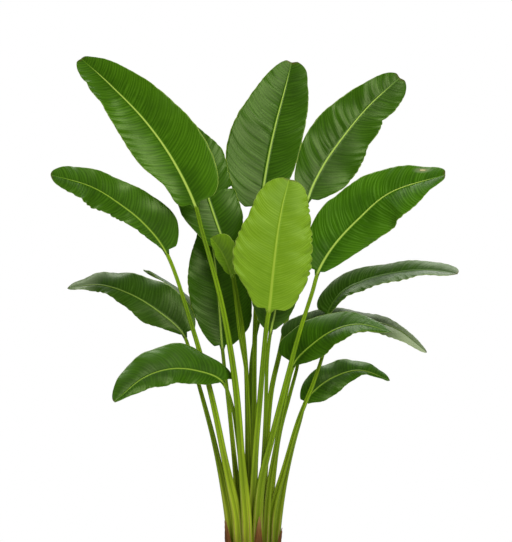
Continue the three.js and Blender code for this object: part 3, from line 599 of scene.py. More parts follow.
def stem_stations(leaf, line):
    """Frames, radii and depths of the stem's rings, from the soil to the end of the midrib."""
    foot = leaf["radius"][0]
    under = BLADE_THICKNESS / 2 + GAP
    place, _, up, _ = line.frame_at(0)
    level = Vector((up.x, up.y, 0)).normalized()
    rise = Vector((0, 0, 1))
    for height in (SOIL_TOP - STEM_DEPTH, SOIL_TOP):
        upright = Vector((place.x, place.y, height)), rise, level, rise.cross(level)
        yield upright, foot, -STEM_CENTRE * foot, FOOT_GROOVE, height - SOIL_TOP
    for station in range(1, STEM_STATIONS + 1):
        share = station / STEM_STATIONS
        here, ahead, face_up, right = line.frame_at(line.blade_start * share)
        if share < FOOT_BLEND:
            face_up = level.lerp(face_up, smooth(0, FOOT_BLEND, share))
            face_up = (face_up - ahead * face_up.dot(ahead)).normalized()
            right = ahead.cross(face_up)
        radius = mix(leaf["radius"][0], leaf["radius"][1], min(share * STEM_TAPER, 1) ** STEM_TAPER_BEND)
        depth = mix(-STEM_CENTRE * foot, under, share ** 0.5)
        groove = mix(FOOT_GROOVE, STEM_GROOVE, smooth(0.0, 0.3, share)) * (1 - smooth(0.9, 1.0, share))
        yield (here, ahead, face_up, right), radius, depth, groove, line.blade_start * share
    for station in range(1, RIB_STATIONS + 1):
        share = RIB_END * station / RIB_STATIONS
        distance = mix(line.blade_start, line.total, share)
        yield line.frame_at(distance), rib_radius(leaf, share), under, 0.0, distance


def stem_mesh(leaf, line):
    """A grid wrapped round the stem's rings, merged along its seam and closed at both ends."""
    stations = list(stem_stations(leaf, line))
    bm = bmesh.new()
    around_map = bm.loops.layers.uv.new("around")
    bmesh.ops.create_grid(bm, x_segments=STEM_SIDES, y_segments=len(stations) - 1, size=1.0)
    lengths = {}
    for vert in bm.verts:
        turn = (vert.co.x + 1) / 2
        row = round((vert.co.y + 1) / 2 * (len(stations) - 1))
        (place, _, up, right), radius, depth, groove, length = stations[row]
        x, y = stem_section(-math.pi / 2 + 2 * math.pi * turn, groove)
        # Near the soil the stem clasps the clump: it widens on its inner side only.
        clasp = FOOT_CLASP * (1 - smooth(*CLASP_HEIGHTS, place.z - SOIL_TOP))
        inward = clamp(-place.x / CLUMP_REACH, -1.0, 1.0) * (1 if right.x > 0 else -1)
        vert.co = place + right * (radius * (x * (1 + clasp) + inward * clasp)) + up * (y * radius - depth)
        lengths[vert] = (turn, length)
    for face in bm.faces:
        for loop in face.loops:
            loop[around_map].uv = lengths[loop.vert]
    bmesh.ops.remove_doubles(bm, verts=bm.verts, dist=1e-6)
    bmesh.ops.holes_fill(bm, edges=[edge for edge in bm.edges if edge.is_boundary], sides=0)
    bmesh.ops.recalc_face_normals(bm, faces=bm.faces)
    return bm


def sheath_mesh(sheath, leaf, line, seed):
    """A thin pointed sheet round the outer side of a stem's foot, ribbed and curled at its edges."""
    bm = bmesh.new()
    fibre_map = bm.loops.layers.uv.new("fibres")
    bmesh.ops.create_grid(bm, x_segments=SHEATH_COLUMNS, y_segments=SHEATH_ROWS, size=1.0)
    placed = {}
    for vert in bm.verts:
        across, share = vert.co.x, (vert.co.y + 1) / 2
        height = mix(GAP, sheath["height"], share)
        place = line.frame_at(height)[0]
        radius = leaf["radius"][0] * SHEATH_FIT + SHEATH_CLEARANCE + SHEATH_THICKNESS / 2
        half = math.radians(sheath["span"] / 2) * (1 - share ** 1.1) + SHEATH_POINT * (1 - 0.6 * share)
        angle = math.radians(sheath["middle"]) + across * half
        radius += 0.00035 * math.sin(angle * 26 + seed) * share
        radius += 0.0010 * abs(across) ** 6 * (1 - share)
        radius += 0.0005 * noise.noise(Vector((angle * 3, share * 6, seed)))
        ragged = (0.003 * noise.noise(Vector((across * 5, seed, 0.0))) - 0.012) * share ** 3
        vert.co = (place.x + radius * math.cos(angle), place.y + radius * math.sin(angle),
                   SOIL_TOP + height + ragged)
        placed[vert] = (across * half * radius, height)
    for face in bm.faces:
        for loop in face.loops:
            loop[fibre_map].uv = placed[loop.vert]
    inner = bmesh.ops.extrude_face_region(bm, geom=bm.faces[:])["geom"]
    for vert in inner:
        if isinstance(vert, bmesh.types.BMVert):
            place = line.frame_at(vert.co.z - SOIL_TOP)[0]
            vert.co -= Vector((vert.co.x - place.x, vert.co.y - place.y, 0)).normalized() * SHEATH_THICKNESS
    bmesh.ops.recalc_face_normals(bm, faces=bm.faces)
    return bm


# ------------------------------------------------------------------ finishes
def shade(value):
    """A screen colour, such as 0x5a8a20, as linear red, green, blue and alpha."""
    parts = [(value >> shift & 255) / 255 for shift in (16, 8, 0)]
    linear = [part / 12.92 if part <= 0.04045 else ((part + 0.055) / 1.055) ** 2.4 for part in parts]
    return (*linear, 1.0)


def solid(colour):
    """A colour setting with its alpha."""
    return tuple(colour) + (1.0,)


class Board:
    """A node tree with short calls to add nodes and join their sockets."""

    def __init__(self, tree):
        self.tree = tree
        self.column = 0

    def add(self, kind, inputs=None, **settings):
        node = self.tree.nodes.new(kind)
        self.column += 1
        node.location = (self.column * 180, -(self.column % 4) * 160)
        for name, value in settings.items():
            setattr(node, name, value)
        for name, value in (inputs or {}).items():
            if isinstance(value, bpy.types.NodeSocket):
                self.tree.links.new(value, node.inputs[name])
            else:
                node.inputs[name].default_value = value
        return node

    def group(self, tree, inputs):
        return self.add("ShaderNodeGroup", inputs, node_tree=tree).outputs

    def math(self, operation, first, second=0.0):
        return self.add("ShaderNodeMath", {0: first, 1: second}, operation=operation).outputs[0]

    def times(self, first, second):
        return self.math("MULTIPLY", first, second)

    def plus(self, first, second):
        return self.math("ADD", first, second)

    def minus(self, first, second):
        return self.math("SUBTRACT", first, second)

    def mix(self, share, first, second):
        return self.add("ShaderNodeMix", {0: share, 6: first, 7: second}, data_type="RGBA").outputs[2]

    def ramp(self, value, low, high, to_low=0.0, to_high=1.0):
        node = self.add("ShaderNodeMapRange", {0: value, 1: low, 2: high, 3: to_low, 4: to_high},
                        interpolation_type="SMOOTHSTEP")
        return node.outputs[0]

    def noise(self, place, scale, detail=2.0, roughness=0.5, distortion=0.0):
        node = self.add("ShaderNodeTexNoise", {"Vector": place, "Scale": scale, "Detail": detail,
                                               "Roughness": roughness, "Distortion": distortion})
        return node.outputs["Fac"]

    def stretch(self, place, scale):
        return self.add("ShaderNodeMapping", {"Vector": place, "Scale": scale}).outputs[0]


def effect(name, inputs, outputs):
    """A node group, built once: its tree and a board, or its tree and None if it is there already.

    An input without a default is a place, and all else are numbers."""
    tree = bpy.data.node_groups.get(name)
    if tree:
        return tree, None
    tree = bpy.data.node_groups.new(name, "ShaderNodeTree")
    for title, default in inputs.items():
        kind = "NodeSocketVector" if default is None else "NodeSocketFloat"
        socket = tree.interface.new_socket(title, in_out="INPUT", socket_type=kind)
        if default is not None:
            socket.default_value = default
    for title in outputs:
        tree.interface.new_socket(title, in_out="OUTPUT", socket_type="NodeSocketFloat")
    return tree, Board(tree)


def side_veins():
    """Parallel side veins from a vein map: masks of pale lines, furrows and soft bands, and a height."""
    tree, board = effect("Side Veins", {"Vein Place": None, "Spacing": 0.0072, "Waver": 0.5},
                         ("Lines", "Furrows", "Bands", "Height"))
    if not board:
        return tree
    given = board.add("NodeGroupInput").outputs
    parts = board.add("ShaderNodeSeparateXYZ", {0: given["Vein Place"]}).outputs
    slow = board.noise(board.stretch(given["Vein Place"], (9.0, 48.0, 1.0)), 1.0, 2.0)
    shift = board.times(board.minus(slow, 0.5), given["Waver"])
    count = board.plus(board.math("DIVIDE", parts["Y"], given["Spacing"]), board.times(shift, 2.0))
    wave = board.math("SINE", board.times(count, 2 * math.pi))
    lines = board.ramp(wave, 0.35, 0.95)
    furrows = board.ramp(wave, -0.95, -0.35, 1.0, 0.0)
    fine = board.noise(board.stretch(given["Vein Place"], (16.0, 620.0, 1.0)), 1.0, 3.0, 0.6)
    bands = board.noise(board.stretch(given["Vein Place"], (9.0, 105.0, 1.0)), 1.0, 3.0, 0.55)
    height = board.plus(board.times(wave, 0.13), board.times(fine, 0.30))
    height = board.plus(height, board.times(bands, 0.45))
    broken = board.times(lines, board.ramp(fine, 0.30, 0.60))
    worn = board.times(furrows, board.ramp(fine, 0.35, 0.65, 1.0, 0.35))
    board.add("NodeGroupOutput", {"Lines": broken, "Furrows": worn, "Bands": bands, "Height": height})
    return tree


def blade_zones():
    """Masks of midrib, margin, tip and edges from a span map, which runs 0 to 1 across and along."""
    tree, board = effect("Blade Zones", {"Span": None, "Place": None, "Crest": 0.95},
                         ("Rib", "Rib Crest", "Margin", "Tip", "Rib Shade", "Outer"))
    if not board:
        return tree
    given = board.add("NodeGroupInput").outputs
    parts = board.add("ShaderNodeSeparateXYZ", {0: given["Span"]}).outputs
    out_share = board.times(board.math("ABSOLUTE", board.minus(parts["X"], 0.5)), 2.0)
    rib = board.ramp(out_share, RIB_SHARE * 0.86, RIB_SHARE * 1.12, 1.0, 0.0)
    side_on = board.math("DIVIDE", out_share, board.times(given["Crest"], RIB_SHARE))
    crest = board.ramp(side_on, 0.3, 1.0, 1.0, 0.0)
    crest = board.times(crest, board.ramp(parts["Y"], 0.80, 0.97, 1.0, 0.1))
    shade_by_rib = board.ramp(out_share, RIB_SHARE, 0.24, 1.0, 0.0)
    outer = board.ramp(out_share, 0.25, 0.95)
    uneven = board.noise(given["Place"], 60.0, 2.0)
    margin = board.ramp(board.plus(out_share, board.times(uneven, 0.02)), 0.985, 1.006)
    tip = board.ramp(board.plus(parts["Y"], board.times(uneven, 0.02)), 0.988, 1.012)
    board.add("NodeGroupOutput", {"Rib": rib, "Rib Crest": crest, "Margin": margin, "Tip": tip,
                                  "Rib Shade": shade_by_rib, "Outer": outer})
    return tree


def patches():
    """Soft patches of two sizes, for colour that varies over a leaf, a pot or the soil."""
    tree, board = effect("Patches", {"Place": None, "Size": 0.1, "Grain": 0.004}, ("Broad", "Fine"))
    if not board:
        return tree
    given = board.add("NodeGroupInput").outputs
    broad = board.noise(given["Place"], board.math("DIVIDE", 1.0, given["Size"]), 2.0, 0.5, 0.4)
    fine = board.noise(given["Place"], board.math("DIVIDE", 1.0, given["Grain"]), 3.0, 0.6)
    board.add("NodeGroupOutput", {"Broad": board.ramp(broad, 0.3, 0.7), "Fine": fine})
    return tree


def fibres():
    """Fine streaks that run along the second axis of a map in metres: stems, dry sheaths and bark."""
    tree, board = effect("Fibres", {"Place": None, "Across": 40.0, "Along": 5.0}, ("Streaks", "Height"))
    if not board:
        return tree
    given = board.add("NodeGroupInput").outputs
    scale = board.add("ShaderNodeCombineXYZ", {0: given["Across"], 1: given["Along"], 2: 1.0}).outputs[0]
    placed = board.add("ShaderNodeVectorMath", {0: given["Place"], 1: scale}, operation="MULTIPLY").outputs[0]
    coarse = board.noise(placed, 1.0, 3.0, 0.6)
    fine = board.noise(placed, 3.1, 2.0, 0.6)
    height = board.plus(board.times(coarse, 0.6), board.times(fine, 0.4))
    board.add("NodeGroupOutput", {"Streaks": board.ramp(coarse, 0.3, 0.7), "Height": height})
    return tree


def new_material(name):
    """A material, its board, its Principled shader and the place on the object."""
    material = bpy.data.materials.new(name)
    material.use_nodes = True
    tree = material.node_tree
    tree.nodes.clear()
    board = Board(tree)
    shader = board.add("ShaderNodeBsdfPrincipled")
    out = board.add("ShaderNodeOutputMaterial")
    tree.links.new(shader.outputs[0], out.inputs[0])
    return material, board, shader, board.add("ShaderNodeTexCoord").outputs["Object"]


def finish(board, shader, colour, roughness, height, distance, strength, specular=0.5):
    """Joins a colour, a roughness and a relief to a shader."""
    board.tree.links.new(colour, shader.inputs["Base Color"])
    board.tree.links.new(roughness, shader.inputs["Roughness"])
    bump = board.add("ShaderNodeBump", {"Height": height, "Distance": distance, "Strength": strength})
    board.tree.links.new(bump.outputs[0], shader.inputs["Normal"])
    shader.inputs["Specular IOR Level"].default_value = specular


# Per tone: dark, main and patch greens, the vein lines, the painted shade in the furrows between them, the
# midrib,
# and the least roughness as gloss. crest: how wide the midrib's pale crest is, where it is thin. spacing:
# between two side veins, where they are close. pale: a painted sheen towards the tip, from the share of the
# length that it starts from, how much, and the left half's share of it. spot: place across and along of a dry
# spot, and its size;
# a painted greyish sheen lies round it.
TONES = {
    "mid": {"dark": 0x2f5605, "main": 0x417006, "patch": 0x50820c, "line": 0x6a9a28, "furrow": 0x1d3a04,
            "rib": 0xc2dc62, "gloss": 0.30},
    "deep": {"dark": 0x284a05, "main": 0x376006, "patch": 0x45740c, "line": 0x5c8824, "furrow": 0x193204,
             "rib": 0xb4d256, "gloss": 0.30},
    "shaded": {"dark": 0x284a05, "main": 0x3a6606, "patch": 0x48780c, "line": 0x5e8c26, "furrow": 0x152c04,
               "rib": 0xa4c044, "gloss": 0.31, "crest": 0.66},
    "grey_sheen_tip": {"dark": 0x28460a, "main": 0x345a0c, "patch": 0x446a16, "line": 0x587c30, "furrow": 0x203a08,
              "rib": 0x94ae4c, "gloss": 0.31, "crest": 0.66, "pale": (0.70, 0.3, 1.0)},
    "folded": {"dark": 0x264408, "main": 0x335a0a, "patch": 0x446a12, "line": 0x6c8c44, "furrow": 0x182e06,
               "rib": 0x54762a, "gloss": 0.30, "crest": 0.66},
    "fresh": {"dark": 0x608a08, "main": 0x74a00c, "patch": 0x82ae1a, "line": 0x8cb030, "furrow": 0x42660a,
              "rib": 0x7ea22a, "gloss": 0.36},
    "young": {"dark": 0x6c9412, "main": 0x7ba31a, "patch": 0x88b024, "line": 0xa6c84c, "furrow": 0x628a12,
              "rib": 0xa4c03c, "gloss": 0.42, "spacing": 0.0060},
    "bleached": {"dark": 0x223c08, "main": 0x2f500a, "patch": 0x3e6412, "line": 0x5c7c34, "furrow": 0x162c06,
                 "rib": 0x94ae4c, "gloss": 0.30, "crest": 0.66, "pale": (0.50, 0.85, 0.45)},
    "dull": {"dark": 0x2c4a0a, "main": 0x34560c, "patch": 0x3e6210, "line": 0x4c7020, "furrow": 0x1e3606,
             "rib": 0x6e8c34, "gloss": 0.60, "crest": 0.66},
    "spotted": {"dark": 0x305c06, "main": 0x437606, "patch": 0x50860c, "line": 0x7cac44, "furrow": 0x183404,
                "rib": 0xc2dc62, "gloss": 0.30, "spot": (0.125, 0.855, 0.018)},
}
LEAF_SHINE = (0.80, 1.0, 0.45, 1.0)  # tint of what leaves and stems reflect


def blade_material(name, tone, under_side):
    """A leaf's face: green in soft patches, pale side veins and midrib, and a thin yellowish edge."""
    material, board, shader, place = new_material(name)
    span = board.add("ShaderNodeUVMap", uv_map="span").outputs[0]
    vein_place = board.add("ShaderNodeUVMap", uv_map="veins").outputs[0]
    spacing = tone.get("spacing", 0.0084)
    veins = board.group(side_veins(), {"Vein Place": vein_place, "Spacing": spacing, "Waver": 1.3})
    zones = board.group(blade_zones(), {"Span": span, "Place": place, "Crest": tone.get("crest", 0.95)})
    spots = board.group(patches(), {"Place": place, "Size": 0.11, "Grain": 0.006})
    colour = board.mix(spots["Broad"], shade(tone["dark"]), shade(tone["main"]))
    streaked = board.ramp(veins["Bands"], 0.38, 0.72)
    colour = board.mix(board.times(streaked, 0.30), colour, shade(tone["patch"]))
    colour = board.mix(board.times(zones["Outer"], 0.45), colour, shade(tone["patch"]))
    seen = board.ramp(spots["Broad"], 0.0, 1.0, 0.4, 1.0)
    lines = board.times(veins["Lines"], seen)
    furrows = board.times(veins["Furrows"], seen)
    colour = board.mix(board.times(lines, 0.36), colour, shade(tone["line"]))
    # Painted shade in the furrows between the side veins.
    colour = board.mix(board.times(furrows, 0.48), colour, shade(tone["furrow"]))
    colour = board.mix(board.times(zones["Rib Shade"], 0.20), colour, shade(tone["dark"]))
    parts = board.add("ShaderNodeSeparateXYZ", {0: span}).outputs
    # Painted sheen: the blade turns pale grey-green towards its tip, the left half taking the tone's share of
    # it.
    if "pale" in tone:
        start, amount, left_share = tone["pale"]
        pale = board.times(board.ramp(parts["Y"], start, 0.85, 0.0, amount),
                          board.ramp(parts["X"], 0.44, 0.54, left_share, 1.0))
        colour = board.mix(pale, colour, shade(0xc6d8a6))
    rib_colour = board.mix(zones["Rib Crest"], shade(tone["patch"]), shade(tone["rib"]))
    if under_side:
        colour = board.mix(0.42, colour, shade(0x7c9a5c))
        rib_colour = board.mix(0.3, rib_colour, shade(0x9db66a))
    colour = board.mix(board.times(zones["Margin"], 0.8), colour, shade(0xa2bc50))
    colour = board.mix(board.times(zones["Tip"], 0.8), colour, shade(0x5d5426))
    colour = board.mix(zones["Rib"], colour, rib_colour)
    if "spot" in tone and not under_side:
        across, along, size = tone["spot"]
        from_x = board.times(board.minus(parts["X"], across), 0.62)
        from_y = board.minus(parts["Y"], along)
        square = board.plus(board.math("POWER", from_x, 2.0), board.math("POWER", from_y, 2.0))
        far = board.math("SQRT", square)
        far = board.plus(far, board.times(board.minus(spots["Fine"], 0.5), 0.02))
        # Painted sheen: a soft greyish patch round the dry spot; the rings below are the dry spot itself.
        colour = board.mix(board.ramp(far, size * 1.5, size * 4.0, 0.55, 0.0), colour, shade(0x9aa67c))
        colour = board.mix(board.ramp(far, size * 1.25, size * 1.6, 0.8, 0.0), colour, shade(0x7c8048))
        colour = board.mix(board.ramp(far, size * 0.8, size * 1.2, 1.0, 0.0), colour, shade(0xd8cf9c))
    gloss = tone["gloss"] + (0.2 if under_side else 0.0)
    rough = board.ramp(veins["Bands"], 0.25, 0.75, gloss + 0.06, gloss)
    rough = board.plus(rough, board.times(spots["Fine"], 0.04))
    rough = board.plus(rough, board.times(zones["Margin"], 0.5))
    height = board.times(veins["Height"], board.minus(1.0, zones["Rib"]))
    relief, specular = (0.0011, 0.24) if under_side else (0.0008, 0.36)
    finish(board, shader, colour, rough, height, relief, 0.4, specular)
    shader.inputs["Specular Tint"].default_value = LEAF_SHINE
    return material


def stem_material(name, low, high, streak_and_shade):
    """A leaf stem: streaked green, yellower low down, brown and papery where it comes out of the soil."""
    material, board, shader, place = new_material(name)
    around = board.add("ShaderNodeUVMap", uv_map="around").outputs[0]
    lines = board.group(fibres(), {"Place": around, "Across": 26.0, "Along": 7.0})
    spots = board.group(patches(), {"Place": place, "Size": 0.05, "Grain": 0.002})
    parts = board.add("ShaderNodeSeparateXYZ", {0: place}).outputs
    turn = board.add("ShaderNodeSeparateXYZ", {0: around}).outputs["X"]
    rise = board.ramp(parts["Z"], 0.34, 0.72)
    colour = board.mix(rise, solid(low), solid(high))
    each = board.noise(board.stretch(place, (26.0, 26.0, 1.2)), 1.0, 1.0)
    colour = board.mix(board.ramp(each, 0.40, 0.62, 0.0, 0.55), colour, shade(0x547a14))
    colour = board.mix(board.times(lines["Streaks"], 0.40), colour, solid(streak_and_shade))
    off_channel = board.math("ABSOLUTE", board.minus(turn, 0.5))
    # Painted shade: a dark line down the middle of the stem's channel, in the streaks' colour.
    colour = board.mix(board.ramp(off_channel, 0.015, 0.06, 0.42, 0.0), colour, solid(streak_and_shade))
    # Painted shade on both sides of the stem, which turn away from its channel.
    colour = board.mix(board.ramp(off_channel, 0.15, 0.30, 0.0, 0.65), colour, shade(0x3a5408))
    # Painted shade darkens the clump's inner stems, brown low down and dark green higher up; its lips are
    # papery near the soil, and its feet brown.
    flat = board.plus(board.math("POWER", parts["X"], 2.0), board.math("POWER", parts["Y"], 2.0))
    inner = board.times(board.ramp(flat, 0.0003, 0.0026, 0.6, 0.0),
                        board.ramp(parts["Z"], 0.4, 0.7, 1.0, 0.0))
    deep = board.mix(board.ramp(parts["Z"], 0.34, 0.47), shade(0x46290c), shade(0x35450a))
    colour = board.mix(inner, colour, deep)
    lip = board.times(board.ramp(off_channel, 0.08, 0.10), board.ramp(off_channel, 0.115, 0.14, 1.0, 0.0))
    low_down = board.plus(parts["Z"], board.times(lines["Streaks"], 0.09))
    lip = board.times(lip, board.ramp(low_down, 0.36, 0.50, 0.75, 0.0))
    dry = board.mix(board.ramp(lines["Streaks"], 0.2, 0.6), shade(0xcbb478), shade(0x7a4e24))
    colour = board.mix(lip, colour, dry)
    colour = board.mix(board.ramp(low_down, 0.27, 0.38, 0.8, 0.0), colour,
                       board.mix(spots["Broad"], shade(0x5b3d1c), shade(0x7d5a2c)))
    rough = board.ramp(spots["Fine"], 0.2, 0.8, 0.36, 0.52)
    finish(board, shader, colour, rough, lines["Height"], 0.0005, 0.6, 0.30)
    shader.inputs["Specular Tint"].default_value = LEAF_SHINE
    return material


def sheath_material(dark, light):
    """Dry papery sheath: brown fibres, paler towards the torn edges and tip."""
    material, board, shader, place = new_material("dry_sheath_paper")
    fibre_place = board.add("ShaderNodeUVMap", uv_map="fibres").outputs[0]
    lines = board.group(fibres(), {"Place": fibre_place, "Across": 900.0, "Along": 30.0})
    spots = board.group(patches(), {"Place": place, "Size": 0.03, "Grain": 0.0016})
    colour = board.mix(lines["Streaks"], solid(dark), solid(light))
    colour = board.mix(board.times(spots["Broad"], 0.45), colour, shade(0x5f3b1e))
    rise = board.add("ShaderNodeSeparateXYZ", {0: fibre_place}).outputs["Y"]
    colour = board.mix(board.ramp(rise, 0.07, 0.14, 0.0, 0.55), colour, shade(0xb89860))
    rough = board.ramp(spots["Fine"], 0.2, 0.8, 0.62, 0.86)
    finish(board, shader, colour, rough, lines["Height"], 0.0007, 0.8, 0.3)
    return material


def soil_material(name, dark, light):
    """Moist potting soil: dark crumbs in two sizes with lighter dry patches."""
    material, board, shader, place = new_material(name)
    spots = board.group(patches(), {"Place": place, "Size": 0.05, "Grain": 0.0028})
    colour = board.mix(spots["Fine"], shade(dark), shade(light))
    colour = board.mix(board.times(spots["Broad"], 0.4), colour, shade(0x584230))
    rough = board.ramp(spots["Broad"], 0.0, 1.0, 0.82, 0.95)
    finish(board, shader, colour, rough, spots["Fine"], 0.0022, 1.0, 0.25)
    return material


def pot_material(colour_value):
    """Unglazed pale ceramic: faint turned rings, fine specks, soft cloudy patches and a darker foot."""
    material, board, shader, place = new_material("pale_ceramic")
    spots = board.group(patches(), {"Place": place, "Size": 0.09, "Grain": 0.0014})
    rings = board.group(fibres(), {"Place": place, "Across": 2.0, "Along": 2.0})
    parts = board.add("ShaderNodeSeparateXYZ", {0: place}).outputs
    height = board.plus(parts["Z"], board.times(rings["Streaks"], 0.002))
    turned = board.math("SINE", board.times(height, 2 * math.pi / 0.0042))
    colour = board.mix(board.times(spots["Broad"], 0.55), solid(colour_value), shade(0xbab3a6))
    speck = board.ramp(spots["Fine"], 0.68, 0.74)
    colour = board.mix(board.times(speck, 0.5), colour, shade(0x8f8677))
    colour = board.mix(board.ramp(parts["Z"], 0.0, 0.03, 0.35, 0.0), colour, shade(0x8b8172))
    rough = board.ramp(spots["Fine"], 0.2, 0.8, 0.58, 0.78)
    relief = board.plus(board.times(turned, 0.25), spots["Fine"])
    finish(board, shader, colour, rough, relief, 0.0006, 0.6, 0.4)
    return material


def floor_material(colour_value):
    """The studio's matt pale floor, faintly uneven."""
    material, board, shader, place = new_material("studio_floor")
    spots = board.group(patches(), {"Place": place, "Size": 0.8, "Grain": 0.01})
    colour = board.mix(board.times(spots["Broad"], 0.25), solid(colour_value), shade(0xe6e4e0))
    rough = board.ramp(spots["Fine"], 0.2, 0.8, 0.75, 0.9)
    finish(board, shader, colour, rough, spots["Fine"], 0.0004, 0.3)
    return material


def bark_material():
    """Bark chips: red-brown with darker fibres."""
    material, board, shader, place = new_material("bark")
    lines = board.group(fibres(), {"Place": place, "Across": 260.0, "Along": 90.0})
    spots = board.group(patches(), {"Place": place, "Size": 0.02, "Grain": 0.0012})
    colour = board.mix(lines["Streaks"], shade(0x3b2415), shade(0x6d4526))
    colour = board.mix(board.times(spots["Broad"], 0.5), colour, shade(0x8a6038))
    rough = board.ramp(spots["Fine"], 0.2, 0.8, 0.7, 0.9)
    finish(board, shader, colour, rough, lines["Height"], 0.0008, 0.8)
    return material


# ------------------------------------------------------------------ sizes and colours to change
class PotSizes(bpy.types.PropertyGroup):
    height: bpy.props.FloatProperty(
        name="Height", description="From the ground to the rim", default=0.278, unit="LENGTH")
    rim_radius: bpy.props.FloatProperty(
        name="Rim radius", description="Outside, at the top band", default=0.150, unit="LENGTH")
    foot_radius: bpy.props.FloatProperty(
        name="Foot radius", description="Outside, at the ground", default=0.106, unit="LENGTH")
    wall: bpy.props.FloatProperty(
        name="Wall", description="Thickness of the wall", default=0.006, unit="LENGTH")
    floor: bpy.props.FloatProperty(
        name="Floor", description="Thickness of the bottom", default=0.009, unit="LENGTH")
    band_height: bpy.props.FloatProperty(
        name="Band height", description="Height of the thicker band round the rim", default=0.030,
        unit="LENGTH")
    band_extra: bpy.props.FloatProperty(
        name="Band step", description="How far the band stands out from the wall", default=0.004,
        unit="LENGTH")
    drain_radius: bpy.props.FloatProperty(
        name="Drain hole radius", description="Radius of each hole in the bottom", default=0.006,
        unit="LENGTH")
    colour: bpy.props.FloatVectorProperty(
        name="Colour", description="The ceramic's main colour", default=shade(0xd6d1c8)[:3], subtype="COLOR")


class SoilSizes(bpy.types.PropertyGroup):
    crumbs: bpy.props.IntProperty(
        name="Crumbs", description="Number of loose crumbs on the soil", default=620)
    bark_chips: bpy.props.IntProperty(
        name="Bark chips", description="Number of bark chips among the crumbs", default=110)
    crumb_size: bpy.props.FloatProperty(
        name="Crumb size", description="Radius of the largest crumbs", default=0.0034, unit="LENGTH")


class LeafColours(bpy.types.PropertyGroup):
    stem_low: bpy.props.FloatVectorProperty(
        name="Stem, low", description="Colour of the stems near the soil", default=shade(0xb9d030)[:3],
        subtype="COLOR")
    stem_high: bpy.props.FloatVectorProperty(
        name="Stem, high", description="Colour of the stems by the blades", default=shade(0x8eb61c)[:3],
        subtype="COLOR")
    # Also the colour of the painted shade down the middle of each stem's channel.
    stem_streak_and_shade: bpy.props.FloatVectorProperty(
        name="Stem, streaks", description="Colour of the darker streaks", default=shade(0x52680a)[:3],
        subtype="COLOR")
    sheath_dark: bpy.props.FloatVectorProperty(
        name="Sheath, dark", description="Colour of the dry sheaths' darker fibres",
        default=shade(0x562e10)[:3], subtype="COLOR")
    sheath_light: bpy.props.FloatVectorProperty(
        name="Sheath, light", description="Colour of the dry sheaths' lighter fibres",
        default=shade(0xa47236)[:3], subtype="COLOR")


class StageSizes(bpy.types.PropertyGroup):
    floor_radius: bpy.props.FloatProperty(
        name="Floor radius", description="Radius of the round floor", default=3.0, unit="LENGTH")
    floor_colour: bpy.props.FloatVectorProperty(
        name="Floor colour", description="The floor's main colour", default=(0.86, 0.86, 0.85),
        subtype="COLOR")
    key_power: bpy.props.FloatProperty(
        name="Key light", description="Power of the large light at the front right", default=90.0,
        unit="POWER")
    high_power: bpy.props.FloatProperty(
        name="High light", description="Power of the small light above the front", default=26.0, unit="POWER")
    top_power: bpy.props.FloatProperty(
        name="Top light", description="Power of the wide light above and behind", default=72.0, unit="POWER")
    fill_power: bpy.props.FloatProperty(
        name="Fill light", description="Power of the soft lights at the left and the rear", default=24.0,
        unit="POWER")
    air_light: bpy.props.FloatProperty(
        name="Room light", description="Strength of the light from all round", default=0.08)


# ------------------------------------------------------------------ one operator for each group of pieces
def pot_slope(pot, height):
    """The pot's outer radius at a height, without its rim band."""
    return mix(pot.foot_radius, pot.rim_radius - pot.band_extra, height / pot.height)


def soil_level(far, edge):
    """The soil's intended height, which crumbs and chips keep and the soil's mesh has only at its edge."""
    return mix(SOIL_TOP, SOIL_TOP - SOIL_EDGE_DROP,
               clamp((far - SOIL_LEVEL_RADIUS) / (edge - SOIL_LEVEL_RADIUS)))


def leaf_named(name):
    return next(leaf for leaf in LEAVES if leaf["name"] == name)


